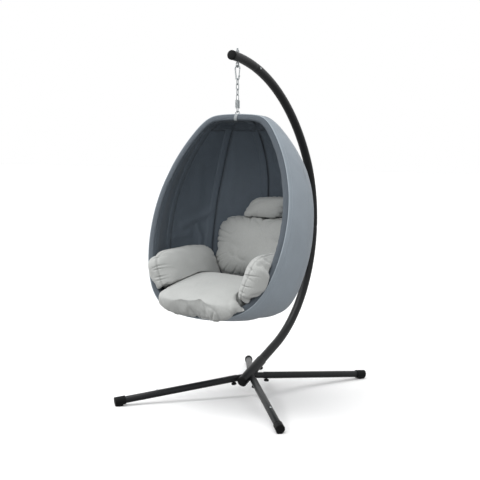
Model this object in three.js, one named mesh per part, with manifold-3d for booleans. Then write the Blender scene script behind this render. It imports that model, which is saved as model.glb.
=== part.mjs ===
// Hanging egg chair: C-shaped steel stand on four sloping legs, sprung chain, fabric egg basket, cushions.
// Millimetres. +Z is up and the chair faces -Y. The pieces are laid out about the hanging axis at y = 0, then
// all are moved by MIDDLE_Y so that the origin is on the floor under the middle of the chair's outline.
import * as THREE from 'three';
import { mergeVertices } from 'three/addons/utils/BufferGeometryUtils.js';
import Module from 'manifold-3d';

const wasm = await Module();
wasm.setup();

// ---------------------------------------------------------------- driving dimensions
const GAP = 0.4;                // clearance between pieces that touch
const THROUGH = 60;             // length that passes a hole right through any of the tubes
const RAD = Math.PI / 180;
const MIDDLE_Y = 261.46;        // middle of the overall outline, measured back from the hanging axis

// C-post centreline in the x = 0 plane: a straight foot, a tight bend, then a wide bend over the basket
const POST = {
  startY: 50, startZ: 92, heading: 20.1, straight: 416,
  lowRadius: 762, lowTurn: 100.2, highRadius: 1151, highTurn: 54.6,
  tubeRadius: 25.4, wall: 2,
};
const LOW_ARC = POST.lowRadius * POST.lowTurn * RAD;
const HIGH_ARC = POST.highRadius * POST.highTurn * RAD;
const POST_LENGTH = POST.straight + LOW_ARC + HIGH_ARC;
const MID_JOINT = 1295;         // distance along the post to the joint of the two long tubes
const TOP_JOINT = 2600;         // distance along the post to the joint of the short top arm
const JOINT_SLEEVE_HALF = 70;   // half length of the sleeve hidden inside each joint
const MID_BOLT = MID_JOINT + 50;
const ARM_SCREW = TOP_JOINT - 28;
const TUBE_SIDES = 14;
const STEP_LENGTH = 78;         // length of one straight facet along a bent tube

// Hub sleeve, stubs and legs
const SLEEVE = { start: 6, end: 238, wall: 2.8, clearance: 0.6 };
const HUB = { y: 150, z: 109 };
const LEG = {
  reach: 790, tipZ: 25, start: 86, radius: 19.4, wall: 1.8,
  stubRadius: 16.8, stubEnd: 200, knobAt: 106, screwAt: 552,
};
const LEG_DROP = Math.atan2(HUB.z - LEG.tipZ, LEG.reach);
const LEG_HEADINGS = {
  front_left: -90 - 40.4, front_right: -90 + 40.4, rear_left: 90 + 30.8, rear_right: 90 - 30.8,
};
const CAP = { radius: 24, length: 60, end: 6, footWidth: 30, footLength: 44 };
const KNOB = { shank: 4, shankLength: 24, head: 15, headLength: 12, collar: 7, collarLength: 3 };

// Hanging hardware on the x = 0, y = 0 axis
const EYE = { wire: 4, ring: 12, shank: 5, below: 0.8, boltEnd: 22 };
const HOOK = { wire: 4, topRadius: 14, bottomRadius: 8.5, height: 76, gateWire: 3 };
const LINK = { wire: 2.75, inner: 28.4, bend: 7.25 };
const LINK_COUNT = 3;
const BAR = { wire: 2.25, bend: 6.8, foot: 14 };
const COIL = { wire: 1.8, radius: 11.3, top: 1664, bottom: 1623, turns: 5.5 };
const LOWER_LOOP_Z = 1597;      // wire centre at the bottom of the lower draw bar
const HANGER = { wire: 3, halfWidth: 11 };

// Basket: horizontal sections are circles of radius r about (0, c), listed from the floor up as [z, r, c]
const SECTIONS = [
  [482, 0, -72], [486, 105, -73], [500, 215, -79], [524, 288, -93], [557, 340, -107], [611, 381, -116],
  [686, 412, -112], [796, 438, -94], [921, 449, -69], [1046, 443, -44], [1156, 424, -21], [1246, 396, -2],
  [1331, 359, 10], [1411, 312, 15], [1486, 257, 17], [1538, 209, 17], [1568, 164, 20], [1581, 109, 30],
  [1586, 0, 44],
];
const RIM = { y: -46, z: 1486, slope: 0.357 };   // the opening's plane: y = RIM.y + slope * (z - RIM.z)
const RIM_TILT = Math.atan(RIM.slope);
const BASKET_SIDES = 36;
const FABRIC = 3;
const CAVITY_END = 29;          // depth of the lining's outer face under the basket's outer face
const FRAME_DEPTH = 16;         // depth of the steel frame's centreline under the outer face
const HOOP = { radius: 9.5, behindRim: 13, sides: 6, steps: 68 };
const RIB = {
  radius: 6,
  angles: { centre: 0, left_rear: 43, left_side: 84, right_rear: -43, right_side: -84 },
};
const CROWN_PLATE = { radius: 32, thickness: 8 };
const BASE_PLATE = { radius: 60, thickness: 8 };
const CUSHION_CLEARANCE = 1.2;

// Cushions, each cut to clear the ones before it: centre, half sizes, turns about X, Y and Z in degrees, the
// axis that is thinnest, and how far the top is pushed sideways per unit of height
const CUSHIONS = {
  arm_cushion_right: {
    centre: [288, -136, 711], half: [104, 270, 150], turns: [-3, 20, 4], thin: 0, shear: 0,
  },
  seat_cushion: { centre: [3, -218, 616], half: [296, 244, 92], turns: [9, 3, 0], thin: 2, shear: 0 },
  arm_cushion_left: {
    centre: [-274, -104, 705], half: [102, 272, 152], turns: [1, -20, -4], thin: 0, shear: 0,
  },
  back_cushion: { centre: [4, 220, 838], half: [264, 98, 182], turns: [-15, 0, 0], thin: 1, shear: 0 },
  head_pillow: { centre: [50, 252, 1058], half: [126, 62, 68], turns: [-13, 0, 0], thin: 1, shear: 0.55 },
};
const OUTLINE_SQUARENESS = 4.2;
const CROWN_ROUNDNESS = 2.3;
const CUSHION_MESH = { around: 26, rows: 15 };
const OVER_HEM = 10;            // cushions may bulge sideways over the rim from this far in front of it

// ---------------------------------------------------------------- materials
const material = (color, roughness, metalness) => (
  new THREE.MeshStandardMaterial({ color, roughness, metalness })
);
const blackSteel = () => material(0x25272a, 0.42, 0.35);
const blackPlastic = () => material(0x17181a, 0.6, 0);
const zincSteel = () => material(0xa9adb0, 0.32, 0.9);
const greyFabric = () => material(0x8a939b, 0.88, 0);
const darkFabric = () => material(0x46515a, 0.9, 0);
const cushionFabric = () => material(0xb4b6b6, 0.85, 0);
const frameSteel = () => material(0x3a3d40, 0.5, 0.4);

// ---------------------------------------------------------------- solids
function toManifold(geometry) {
  const bare = geometry.clone();
  bare.deleteAttribute('normal');
  bare.deleteAttribute('uv');
  const welded = mergeVertices(bare, 1e-4);
  return new wasm.Manifold(new wasm.Mesh({
    numProp: 3,
    vertProperties: new Float32Array(welded.attributes.position.array),
    triVerts: new Uint32Array(welded.index.array),
  }));
}

function fromManifold(solid) {
  const mesh = solid.getMesh();
  const geometry = new THREE.BufferGeometry();
  geometry.setAttribute('position', new THREE.BufferAttribute(new Float32Array(mesh.vertProperties), 3));
  geometry.setIndex(new THREE.BufferAttribute(new Uint32Array(mesh.triVerts), 1));
  geometry.computeVertexNormals();
  return geometry;
}

function join(first, ...others) {
  return fromManifold(others.reduce((solid, other) => solid.add(toManifold(other)), toManifold(first)));
}

function cut(first, ...others) {
  return fromManifold(others.reduce((solid, other) => solid.subtract(toManifold(other)), toManifold(first)));
}

function common(first, second) {
  return fromManifold(toManifold(first).intersect(toManifold(second)));
}

function biggestPart(geometry) {
  const parts = toManifold(geometry).decompose();
  return fromManifold(parts.reduce((best, part) => (part.volume() > best.volume() ? part : best)));
}

// A solid turned about an axis: points are [radius, along]; the axis runs from `at` towards `direction`.
function turned(points, at, direction, sides) {
  const outline = points.map(([radius, along]) => new THREE.Vector2(radius, along));
  const geometry = new THREE.LatheGeometry(outline, sides);
  return aimed(geometry, at, direction);
}

function aimed(geometry, at, direction) {
  const up = new THREE.Vector3(0, 1, 0);
  const turn = new THREE.Quaternion().setFromUnitVectors(up, direction.clone().normalize());
  geometry.applyQuaternion(turn);
  geometry.translate(at.x, at.y, at.z);
  return geometry;
}

function rod(radius, from, to, at, direction, sides) {
  return turned([[0, from], [radius, from], [radius, to], [0, to]], at, direction, sides);
}

function pipe(outer, inner, from, to, at, direction, sides) {
  const outline = [[inner, from], [outer, from], [outer, to], [inner, to], [inner, from]];
  return turned(outline, at, direction, sides);
}

function circleShape(radius, sides, holeRadius) {
  const ring = (r) => Array.from({ length: sides }, (_, i) => {
    const angle = (i / sides) * 2 * Math.PI;
    return new THREE.Vector2(r * Math.cos(angle), r * Math.sin(angle));
  });
  const shape = new THREE.Shape(ring(radius));
  if (holeRadius) shape.holes.push(new THREE.Path(ring(holeRadius).reverse()));
  return shape;
}

function sweep(curve, radius, sides, steps, holeRadius = 0) {
  const shape = circleShape(radius, sides, holeRadius);
  return new THREE.ExtrudeGeometry(shape, { steps, bevelEnabled: false, extrudePath: curve });
}

function wire(points, radius, sides, steps) {
  return sweep(new THREE.CatmullRomCurve3(points, false, 'centripetal'), radius, sides, steps);
}

// A closed round wire along a flat loop; pointAt(u) gives the loop's [x, y] for u from 0 to 1, anticlockwise.
function loopWire(pointAt, radius, sides, steps) {
  const geometry = new THREE.TorusGeometry(1, 0.1, sides, steps);
  const position = geometry.attributes.position;
  const SMALL = 1e-3;
  for (let j = 0; j <= sides; j += 1) {
    for (let i = 0; i <= steps; i += 1) {
      const u = (i % steps) / steps;
      const around = ((j % sides) / sides) * 2 * Math.PI;
      const [x, y] = pointAt(u);
      const [xAfter, yAfter] = pointAt((u + SMALL) % 1);
      const [xBefore, yBefore] = pointAt((u + 1 - SMALL) % 1);
      const tangent = new THREE.Vector2(xAfter - xBefore, yAfter - yBefore).normalize();
      const out = radius * Math.cos(around);
      const k = j * (steps + 1) + i;
      position.setXYZ(k, x + tangent.y * out, y - tangent.x * out, radius * Math.sin(around));
    }
  }
  return geometry;
}

// Turns a flat loop drawn in x, y into the upright XZ plane, or on into the YZ plane.
const uprightX = (geometry) => geometry.rotateX(Math.PI / 2);
const uprightY = (geometry) => uprightX(geometry).rotateZ(Math.PI / 2);

// ---------------------------------------------------------------- assembly helpers
const group = new THREE.Group();
group.name = 'hanging_egg_chair';

function place(name, geometry, look) {
  const mesh = new THREE.Mesh(geometry.translate(0, -MIDDLE_Y, 0), look);
  mesh.name = name;
  group.add(mesh);
}

// ---------------------------------------------------------------- stand: C-post
class PostCurve extends THREE.Curve {
  constructor(from, to) {
    super();
    this.from = from;
    this.to = to;
  }

  getPoint(t, target = new THREE.Vector3()) {
    const { point } = postAt(this.from + (this.to - this.from) * t);
    return target.copy(point);
  }
}

function arcStep(start, heading, radius, turn) {
  const centreY = start[0] - radius * Math.sin(heading);
  const centreZ = start[1] + radius * Math.cos(heading);
  return [centreY + radius * Math.sin(heading + turn), centreZ - radius * Math.cos(heading + turn)];
}

// The point and direction of the post's centreline at a distance along it.
function postAt(distance) {
  const foot = [POST.startY, POST.startZ];
  const firstHeading = POST.heading * RAD;
  const flat = Math.min(distance, POST.straight);
  let end = [foot[0] + flat * Math.cos(firstHeading), foot[1] + flat * Math.sin(firstHeading)];
  let heading = firstHeading;
  if (distance > POST.straight) {
    const turn = Math.min(distance - POST.straight, LOW_ARC) / POST.lowRadius;
    end = arcStep(end, heading, POST.lowRadius, turn);
    heading += turn;
  }
  if (distance > POST.straight + LOW_ARC) {
    const turn = (distance - POST.straight - LOW_ARC) / POST.highRadius;
    end = arcStep(end, heading, POST.highRadius, turn);
    heading += turn;
  }
  return {
    point: new THREE.Vector3(0, end[0], end[1]),
    along: new THREE.Vector3(0, Math.cos(heading), Math.sin(heading)),
    outward: new THREE.Vector3(0, Math.sin(heading), -Math.cos(heading)),
  };
}

function postTube(from, to, outer, inner) {
  const steps = Math.max(2, Math.round((to - from) / STEP_LENGTH));
  return sweep(new PostCurve(from, to), outer, TUBE_SIDES, steps, inner);
}

const POST_BORE = POST.tubeRadius - POST.wall;
const BOLT_HOLE = 4.4;
const BOLT_RADIUS = 4;

function crossHole(distance, radius) {
  const { point, outward } = postAt(distance);
  return rod(radius, -THROUGH, THROUGH, point, outward, 12);
}

function hexPrism(acrossFlats, length, holeRadius) {
  const corner = acrossFlats / Math.sqrt(3);
  const shape = circleShape(corner, 6, 0);
  if (holeRadius) shape.holes.push(new THREE.Path(circleShape(holeRadius, 12, 0).getPoints().reverse()));
  const geometry = new THREE.ExtrudeGeometry(shape, { depth: length, bevelEnabled: false });
  return geometry.rotateX(-Math.PI / 2);
}

function buildPost() {
  const spigotOuter = POST_BORE - 2.5 * GAP;
  const spigotInner = spigotOuter - POST.wall;
  const lower = postTube(SLEEVE.start + 6, MID_JOINT, POST.tubeRadius, POST_BORE);
  const upper = postTube(MID_JOINT + GAP, TOP_JOINT, POST.tubeRadius, POST_BORE);
  const arm = postTube(TOP_JOINT + GAP, POST_LENGTH, POST.tubeRadius, POST_BORE);
  const sleeveAt = (joint) => (
    postTube(joint - JOINT_SLEEVE_HALF, joint + JOINT_SLEEVE_HALF, spigotOuter, spigotInner)
  );
  const midSleeve = sleeveAt(MID_JOINT);
  const topSleeve = sleeveAt(TOP_JOINT);
  const midHole = crossHole(MID_BOLT, BOLT_HOLE);
  const armHole = sideHole(ARM_SCREW, SCREW.hole);
  place('post_lower_tube', cut(lower, knobHoleInPost()), blackSteel());
  place('post_upper_tube', cut(upper, midHole, armHole), blackSteel());
  place('post_top_arm', cut(arm, eyeHole()), blackSteel());
  place('mid_joint_sleeve', cut(midSleeve, midHole), frameSteel());
  place('top_joint_sleeve', cut(topSleeve, armHole), frameSteel());
  buildMidBolt();
  buildArmScrew();
  buildPostCaps();
}

// The joint bolt stands out behind the post, with its nut and a length of bare thread.
function buildMidBolt() {
  const { point, outward } = postAt(MID_BOLT);
  const tube = POST.tubeRadius;
  const headOut = -tube - 5.5;
  const outline = [
    [0, headOut - 2], [5, headOut - 1.4], [8, headOut + 2], [8, -tube - 1.2], [BOLT_RADIUS, -tube - 1.2],
    [BOLT_RADIUS, tube + 25], [0, tube + 25],
  ];
  place('mid_joint_bolt', turned(outline, point, outward, 16), zincSteel());
  const nut = hexPrism(13, 7, BOLT_RADIUS + 0.3);
  const seat = point.clone().addScaledVector(outward, tube + 1.2);
  place('mid_joint_nut', aimed(nut, seat, outward), zincSteel());
}

const SCREW = { hole: 3.4, shank: 3, head: 6.5, headHeight: 3.6, length: 14 };
const SIDE = new THREE.Vector3(1, 0, 0);

function sideHole(distance, radius) {
  return rod(radius, 0, THROUGH, postAt(distance).point, SIDE, 10);
}

// A round-head screw: seat is the surface point and out is the way the head faces.
function roundScrew(seat, out) {
  const lift = 0.7;
  const outline = [
    [0, -SCREW.length], [SCREW.shank, -SCREW.length], [SCREW.shank, lift], [SCREW.head, lift],
    [SCREW.head * 0.9, lift + SCREW.headHeight * 0.55], [SCREW.head * 0.5, lift + SCREW.headHeight * 0.92],
    [0, lift + SCREW.headHeight],
  ];
  return turned(outline, seat, out, 12);
}

function buildArmScrew() {
  const seat = postAt(ARM_SCREW).point.addScaledVector(SIDE, POST.tubeRadius);
  place('top_joint_screw', roundScrew(seat, SIDE), zincSteel());
}

// Plug caps: a dome outside the tube and a spigot inside it.
function plugCap(openRadius, coverRadius, at, out) {
  const outline = [
    [0, -14], [openRadius - 2.4, -14], [openRadius - 1.8, -12], [openRadius - 1.2, 0.6], [coverRadius, 0.6],
    [coverRadius, 8], [coverRadius * 0.9, 12], [coverRadius * 0.5, 14.5], [0, 15],
  ];
  return turned(outline, at, out, 16);
}

function buildPostCaps() {
  const top = postAt(POST_LENGTH);
  place('post_top_cap', plugCap(POST_BORE, POST.tubeRadius + 1.2, top.point, top.along), blackPlastic());
  const foot = postAt(SLEEVE.start);
  const down = foot.along.clone().negate();
  const coverRadius = SLEEVE_OUTER + 0.8;
  const outline = [
    [0, 0.6], [coverRadius, 0.6], [coverRadius, 8], [coverRadius * 0.9, 12],
    [coverRadius * 0.5, 14.5], [0, 15],
  ];
  place('hub_end_cap', turned(outline, foot.point, down, 16), blackPlastic());
}

// ---------------------------------------------------------------- stand: hub and legs
const SLEEVE_INNER = POST.tubeRadius + SLEEVE.clearance;
const SLEEVE_OUTER = SLEEVE_INNER + SLEEVE.wall;
const POST_KNOB_AT = SLEEVE.end - 26;

function legAxis(headingDegrees) {
  const heading = headingDegrees * RAD;
  const flat = Math.cos(LEG_DROP);
  return new THREE.Vector3(flat * Math.cos(heading), flat * Math.sin(heading), -Math.sin(LEG_DROP));
}

// The unit vector square to a leg, in its upright plane, pointing up.
function legUp(headingDegrees) {
  const axis = legAxis(headingDegrees);
  const side = new THREE.Vector3(0, 0, 1).cross(axis).normalize();
  return axis.clone().cross(side).normalize();
}

const hubPoint = () => new THREE.Vector3(0, HUB.y, HUB.z);
const legPoint = (heading, distance) => hubPoint().addScaledVector(legAxis(heading), distance);

function knobHole(heading, radius, from, to) {
  return rod(radius, from, to, legPoint(heading, LEG.knobAt), legUp(heading).negate(), 12);
}

function knobHoleInPost() {
  const { point, outward } = postAt(POST_KNOB_AT);
  return rod(KNOB.shank + GAP, 0, THROUGH, point, outward, 12);
}

function buildHub() {
  const { point, along } = postAt(0);
  const sleeve = rod(SLEEVE_OUTER, SLEEVE.start, SLEEVE.end, point, along, 18);
  const bore = rod(SLEEVE_INNER, SLEEVE.start - 20, SLEEVE.end + 20, point, along, 18);
  const headings = Object.values(LEG_HEADINGS);
  const stubs = headings.map((heading) => (
    rod(LEG.stubRadius, 12, LEG.stubEnd, hubPoint(), legAxis(heading), 12)
  ));
  const knobHoles = headings.map((heading) => knobHole(heading, KNOB.shank + GAP, -8, 40));
  const solid = cut(join(sleeve, ...stubs), bore, knobHoleInPost(), ...knobHoles);
  place('hub_frame', solid, blackSteel());
}

// A thumb knob: shank up into the tube, a collar on the tube and a round plastic head.
function knob(at, outward, tubeRadius) {
  const seat = tubeRadius + 1;
  const outline = [
    [0, seat - KNOB.shankLength], [KNOB.shank, seat - KNOB.shankLength], [KNOB.shank, seat],
    [KNOB.collar, seat], [KNOB.collar, seat + KNOB.collarLength],
    [KNOB.head * 0.86, seat + KNOB.collarLength],
    [KNOB.head, seat + KNOB.collarLength + 3], [KNOB.head, seat + KNOB.headLength],
    [KNOB.head * 0.8, seat + KNOB.headLength + 3], [0, seat + KNOB.headLength + 4],
  ];
  return turned(outline, at, outward, 12);
}

function footCap(heading) {
  const axis = legAxis(heading);
  const tip = LEG.reach + CAP.end;
  const barrel = rod(CAP.radius, tip - CAP.length, tip, hubPoint(), axis, 20);
  const bore = rod(LEG.radius + GAP, 0, LEG.reach + GAP, hubPoint(), axis, 20);
  const middle = legPoint(heading, tip - CAP.footLength / 2 - 2);
  const foot = new THREE.BoxGeometry(CAP.footLength, CAP.footWidth, middle.z);
  foot.rotateZ(heading * RAD);
  foot.translate(middle.x, middle.y, middle.z / 2);
  return cut(join(barrel, foot), bore);
}

function buildLegs() {
  for (const [side, heading] of Object.entries(LEG_HEADINGS)) {
    const axis = legAxis(heading);
    const up = legUp(heading);
    const tube = pipe(LEG.radius, LEG.radius - LEG.wall, LEG.start, LEG.reach, hubPoint(), axis, 20);
    const holes = [knobHole(heading, KNOB.shank + GAP, 0, 40)];
    if (side.startsWith('front')) {
      holes.push(rod(SCREW.hole, 0, 40, legPoint(heading, LEG.screwAt), up, 10));
      const seat = legPoint(heading, LEG.screwAt).addScaledVector(up, LEG.radius);
      place(`leg_screw_${side}`, roundScrew(seat, up), zincSteel());
    }
    place(`leg_${side}`, cut(tube, ...holes), blackSteel());
    place(`foot_cap_${side}`, footCap(heading), blackPlastic());
    const knobAt = legPoint(heading, LEG.knobAt);
    place(`leg_knob_${side}`, knob(knobAt, up.clone().negate(), LEG.radius), blackPlastic());
  }
  const { point, outward } = postAt(POST_KNOB_AT);
  place('post_knob', knob(point, outward, SLEEVE_OUTER), blackPlastic());
}

// ---------------------------------------------------------------- hanging hardware
const ARM_AXIS_Z = armHeightOverOrigin();
const EYE_Z = ARM_AXIS_Z - POST.tubeRadius - EYE.below - EYE.ring - EYE.wire;
const HOOK_TOP_Z = EYE_Z - EYE.ring + EYE.wire + HOOK.wire + GAP;
const HOOK_BOTTOM_Z = HOOK_TOP_Z - HOOK.height;
const UP = new THREE.Vector3(0, 0, 1);
const ORIGIN = new THREE.Vector3(0, 0, 0);

// Height of the arm's centreline above the origin, found by halving the distance along the post.
function armHeightOverOrigin() {
  let low = TOP_JOINT;
  let high = POST_LENGTH;
  for (let i = 0; i < 40; i += 1) {
    const middle = (low + high) / 2;
    if (postAt(middle).point.y > 0) low = middle;
    else high = middle;
  }
  return postAt(low).point.z;
}

function eyeHole() {
  return rod(EYE.shank + GAP, ARM_AXIS_Z - THROUGH, ARM_AXIS_Z + THROUGH, ORIGIN, UP, 12);
}

function buildEyeBolt() {
  const ringLoop = (u) => [EYE.ring * Math.cos(2 * Math.PI * u), EYE.ring * Math.sin(2 * Math.PI * u)];
  const ring = uprightY(loopWire(ringLoop, EYE.wire, 6, 16)).translate(0, 0, EYE_Z);
  const armTop = ARM_AXIS_Z + POST.tubeRadius;
  const shank = rod(EYE.shank, EYE_Z + EYE.ring - 1, armTop + EYE.boltEnd, ORIGIN, UP, 12);
  place('eye_bolt', join(ring, shank), zincSteel());
  const washerBottom = armTop + 1.4;
  const washer = pipe(12, EYE.shank + GAP, washerBottom, washerBottom + 2, ORIGIN, UP, 16);
  place('eye_washer', washer, zincSteel());
  const nut = hexPrism(17, 8, EYE.shank + GAP);
  place('eye_nut', aimed(nut, new THREE.Vector3(0, 0, washerBottom + 2 + GAP), UP), zincSteel());
}

// Pear-shaped snap hook in the XZ plane, with a sprung gate on its +X side.
const HOOK_TOP_CENTRE = HOOK_TOP_Z - HOOK.topRadius;
const HOOK_BOTTOM_CENTRE = HOOK_BOTTOM_Z + HOOK.bottomRadius;
const HOOK_TAPER = Math.asin((HOOK.topRadius - HOOK.bottomRadius) / (HOOK_TOP_CENTRE - HOOK_BOTTOM_CENTRE));
const GATE_PIVOT = 0.22;        // shares of the way up the flank
const GATE_NOSE = 0.9;
const GATE_SLOT = [14, 6.4, 9.6];
const GATE_CHEEK = [7.6, 9.6, 11];
const GATE_PIN = { radius: 1.5, half: 5.6 };

// A point on the straight +X flank, as a share of the way from the bottom bend to the top bend.
function flankPoint(share, sign = 1) {
  const flankEnd = (centreZ, radius) => (
    [radius * Math.cos(HOOK_TAPER), centreZ - radius * Math.sin(HOOK_TAPER)]
  );
  const low = flankEnd(HOOK_BOTTOM_CENTRE, HOOK.bottomRadius);
  const high = flankEnd(HOOK_TOP_CENTRE, HOOK.topRadius);
  const x = low[0] + (high[0] - low[0]) * share;
  return new THREE.Vector3(sign * x, 0, low[1] + (high[1] - low[1]) * share);
}

function bendPoints(centreZ, radius, fromDegrees, toDegrees, count) {
  return Array.from({ length: count }, (_, i) => {
    const angle = (fromDegrees + ((toDegrees - fromDegrees) * i) / (count - 1)) * RAD;
    return new THREE.Vector3(radius * Math.cos(angle), 0, centreZ + radius * Math.sin(angle));
  });
}

function buildSnapHook() {
  const taper = HOOK_TAPER / RAD;
  const pivot = flankPoint(GATE_PIVOT);
  const points = [
    flankPoint(GATE_NOSE + 0.02),
    ...bendPoints(HOOK_TOP_CENTRE, HOOK.topRadius, -taper + 6, 180 + taper, 11),
    flankPoint(0.5, -1),
    ...bendPoints(HOOK_BOTTOM_CENTRE, HOOK.bottomRadius, 180 + taper, 360 - taper, 9),
    flankPoint(GATE_PIVOT - 0.1),
  ];
  const frame = wire(points, HOOK.wire, 6, 42);
  const slot = new THREE.BoxGeometry(...GATE_SLOT);
  slot.translate(pivot.x, 0, pivot.z);
  const alongY = new THREE.Vector3(0, 1, 0);
  const pinHole = rod(GATE_PIN.radius + GAP, -2 * GATE_PIN.half, 2 * GATE_PIN.half, pivot, alongY, 10);
  const cheek = new THREE.BoxGeometry(...GATE_CHEEK);
  cheek.translate(pivot.x - 0.2, 0, pivot.z - 2.2);
  place('snap_hook_body', cut(join(frame, cheek), slot, pinHole), zincSteel());
  place('snap_hook_pin', rod(GATE_PIN.radius, -GATE_PIN.half, GATE_PIN.half, pivot, alongY, 10), zincSteel());
  const nose = flankPoint(GATE_NOSE - 0.01);
  const along = nose.clone().sub(pivot);
  const reach = along.length();
  const bar = rod(HOOK.gateWire, 0.5, reach, pivot, along, 10);
  const knuckle = rod(3.8, -2.7, 2.7, pivot, alongY, 14);
  place('snap_hook_gate', cut(join(bar, knuckle), pinHole), zincSteel());
}

// Chain links: a stadium loop; odd links stand in the YZ plane and even ones in the XZ plane.
function linkLoop(u) {
  const straight = LINK.inner / 2 + LINK.wire - LINK.bend;
  const bendLength = Math.PI * LINK.bend;
  const total = 2 * bendLength + 4 * straight;
  let distance = (u * total + straight) % total;
  for (let end = 0; end < 2; end += 1) {
    const sign = end === 0 ? 1 : -1;
    if (distance <= 2 * straight) return [sign * LINK.bend, sign * (distance - straight)];
    distance -= 2 * straight;
    if (distance <= bendLength) {
      const angle = distance / LINK.bend;
      return [sign * LINK.bend * Math.cos(angle), sign * (straight + LINK.bend * Math.sin(angle))];
    }
    distance -= bendLength;
  }
  return [LINK.bend, 0];
}

const LINK_HALF = LINK.inner / 2 + LINK.wire;   // from a link's centre to its end wire's centre
const FIRST_LINK_TOP = HOOK_BOTTOM_Z + HOOK.wire + LINK.wire + GAP;
const linkCentre = (index) => FIRST_LINK_TOP - LINK_HALF - index * (LINK.inner - GAP);

function buildChain() {
  for (let i = 0; i < LINK_COUNT; i += 1) {
    const flat = loopWire(linkLoop, LINK.wire, 6, 20);
    const turnedLink = i % 2 === 0 ? uprightY(flat) : uprightX(flat);
    place(`chain_link_${i + 1}`, turnedLink.translate(0, 0, linkCentre(i)), zincSteel());
  }
}

// Draw bars: each is a U of wire through the coil, with feet that bear on the coil's far end.
const UPPER_BAR_TOP = linkCentre(LINK_COUNT - 1) - LINK_HALF + LINK.wire + BAR.wire + GAP;

function drawBar(archZ, footZ) {
  const up = Math.sign(archZ - footZ);
  const centreZ = archZ - up * BAR.bend;
  const footBend = 3.2;
  const half = (sign) => [
    new THREE.Vector3(sign * BAR.foot, 0, footZ),
    new THREE.Vector3(sign * (BAR.bend + footBend), 0, footZ),
    new THREE.Vector3(sign * (BAR.bend + footBend * 0.3), 0, footZ + up * footBend * 0.3),
    new THREE.Vector3(sign * BAR.bend, 0, footZ + up * footBend),
    new THREE.Vector3(sign * BAR.bend, 0, footZ + up * (footBend + 6)),
    new THREE.Vector3(sign * BAR.bend, 0, centreZ - up * 4),
  ];
  const arch = [];
  for (let i = 0; i <= 8; i += 1) {
    const angle = Math.PI * (1 - i / 8);
    const x = BAR.bend * Math.cos(angle);
    arch.push(new THREE.Vector3(x, 0, centreZ + up * BAR.bend * Math.sin(angle)));
  }
  return wire([...half(-1), ...arch, ...half(1).reverse()], BAR.wire, 6, 38);
}

function buildSpring() {
  const upperFoot = COIL.bottom - BAR.wire - GAP;
  const lowerFoot = COIL.top + BAR.wire + GAP;
  place('spring_upper_bar', drawBar(UPPER_BAR_TOP, upperFoot), zincSteel());
  place('spring_lower_bar', drawBar(LOWER_LOOP_Z, lowerFoot).rotateZ(Math.PI / 2), zincSteel());
  const bottom = COIL.bottom + COIL.wire;
  const rise = COIL.top - COIL.bottom - 2 * COIL.wire;
  const stepsPerTurn = 12;
  const count = Math.round(COIL.turns * stepsPerTurn);
  const points = [];
  for (let i = 0; i <= count; i += 1) {
    const angle = (i / stepsPerTurn) * 2 * Math.PI;
    const z = bottom + (rise * i) / count;
    points.push(new THREE.Vector3(COIL.radius * Math.cos(angle), COIL.radius * Math.sin(angle), z));
  }
  place('spring_coil', wire(points, COIL.wire, 6, count), zincSteel());
}

// ---------------------------------------------------------------- basket shape
// The basket's section list moved in by a depth, as [z, r, c] rows.
function sectionsAt(depth) {
  return SECTIONS.map(([z, r, c], i) => {
    const before = SECTIONS[Math.max(i - 1, 0)];
    const after = SECTIONS[Math.min(i + 1, SECTIONS.length - 1)];
    const slope = new THREE.Vector2(after[1] - before[1], after[0] - before[0]).normalize();
    if (r === 0) return [z + (i === 0 ? depth : -depth), 0, c];
    return [z + slope.x * depth, r - slope.y * depth, c];
  });
}

function eggSolid(depth, sides) {
  const rows = sectionsAt(depth);
  const geometry = new THREE.LatheGeometry(rows.map(([z, r]) => new THREE.Vector2(r, z)), sides);
  geometry.rotateX(Math.PI / 2);
  const position = geometry.attributes.position;
  for (let i = 0; i < position.count; i += 1) {
    position.setY(i, position.getY(i) + centreAt(rows, position.getZ(i)));
  }
  return geometry;
}

function interpolate(rows, z, column) {
  if (z <= rows[0][0]) return rows[0][column];
  for (let i = 1; i < rows.length; i += 1) {
    if (z <= rows[i][0]) {
      const share = (z - rows[i - 1][0]) / (rows[i][0] - rows[i - 1][0]);
      return rows[i - 1][column] + share * (rows[i][column] - rows[i - 1][column]);
    }
  }
  return rows[rows.length - 1][column];
}

const radiusAt = (rows, z) => interpolate(rows, z, 1);
const centreAt = (rows, z) => interpolate(rows, z, 2);
const rimY = (z) => RIM.y + RIM.slope * (z - RIM.z);

// A block that fills everything in front of the opening's plane, moved back by `behind`.
function frontBlock(behind) {
  const depth = 900;
  const block = new THREE.BoxGeometry(1400, depth, 2600);
  block.rotateX(-RIM_TILT);
  const normal = new THREE.Vector3(0, Math.cos(RIM_TILT), -Math.sin(RIM_TILT));
  const middle = new THREE.Vector3(0, rimY(1000), 1000).addScaledVector(normal, behind - depth / 2);
  return block.translate(middle.x, middle.y, middle.z);
}

function buildShells() {
  const outer = cut(eggSolid(0, BASKET_SIDES), eggSolid(FABRIC, BASKET_SIDES), frontBlock(0), hangerSlot());
  const lining = cut(
    eggSolid(CAVITY_END, BASKET_SIDES), eggSolid(CAVITY_END + FABRIC, BASKET_SIDES), frontBlock(0),
  );
  place('basket_shell', outer, greyFabric());
  place('basket_lining', lining, darkFabric());
}

// The slit in the fabric that the hanger loop comes up through.
function hangerSlot() {
  const slot = new THREE.BoxGeometry(2 * (HANGER.halfWidth + HANGER.wire) + 8, 40, 60);
  return slot.translate(0, 0, SECTIONS[SECTIONS.length - 1][0]);
}

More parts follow.
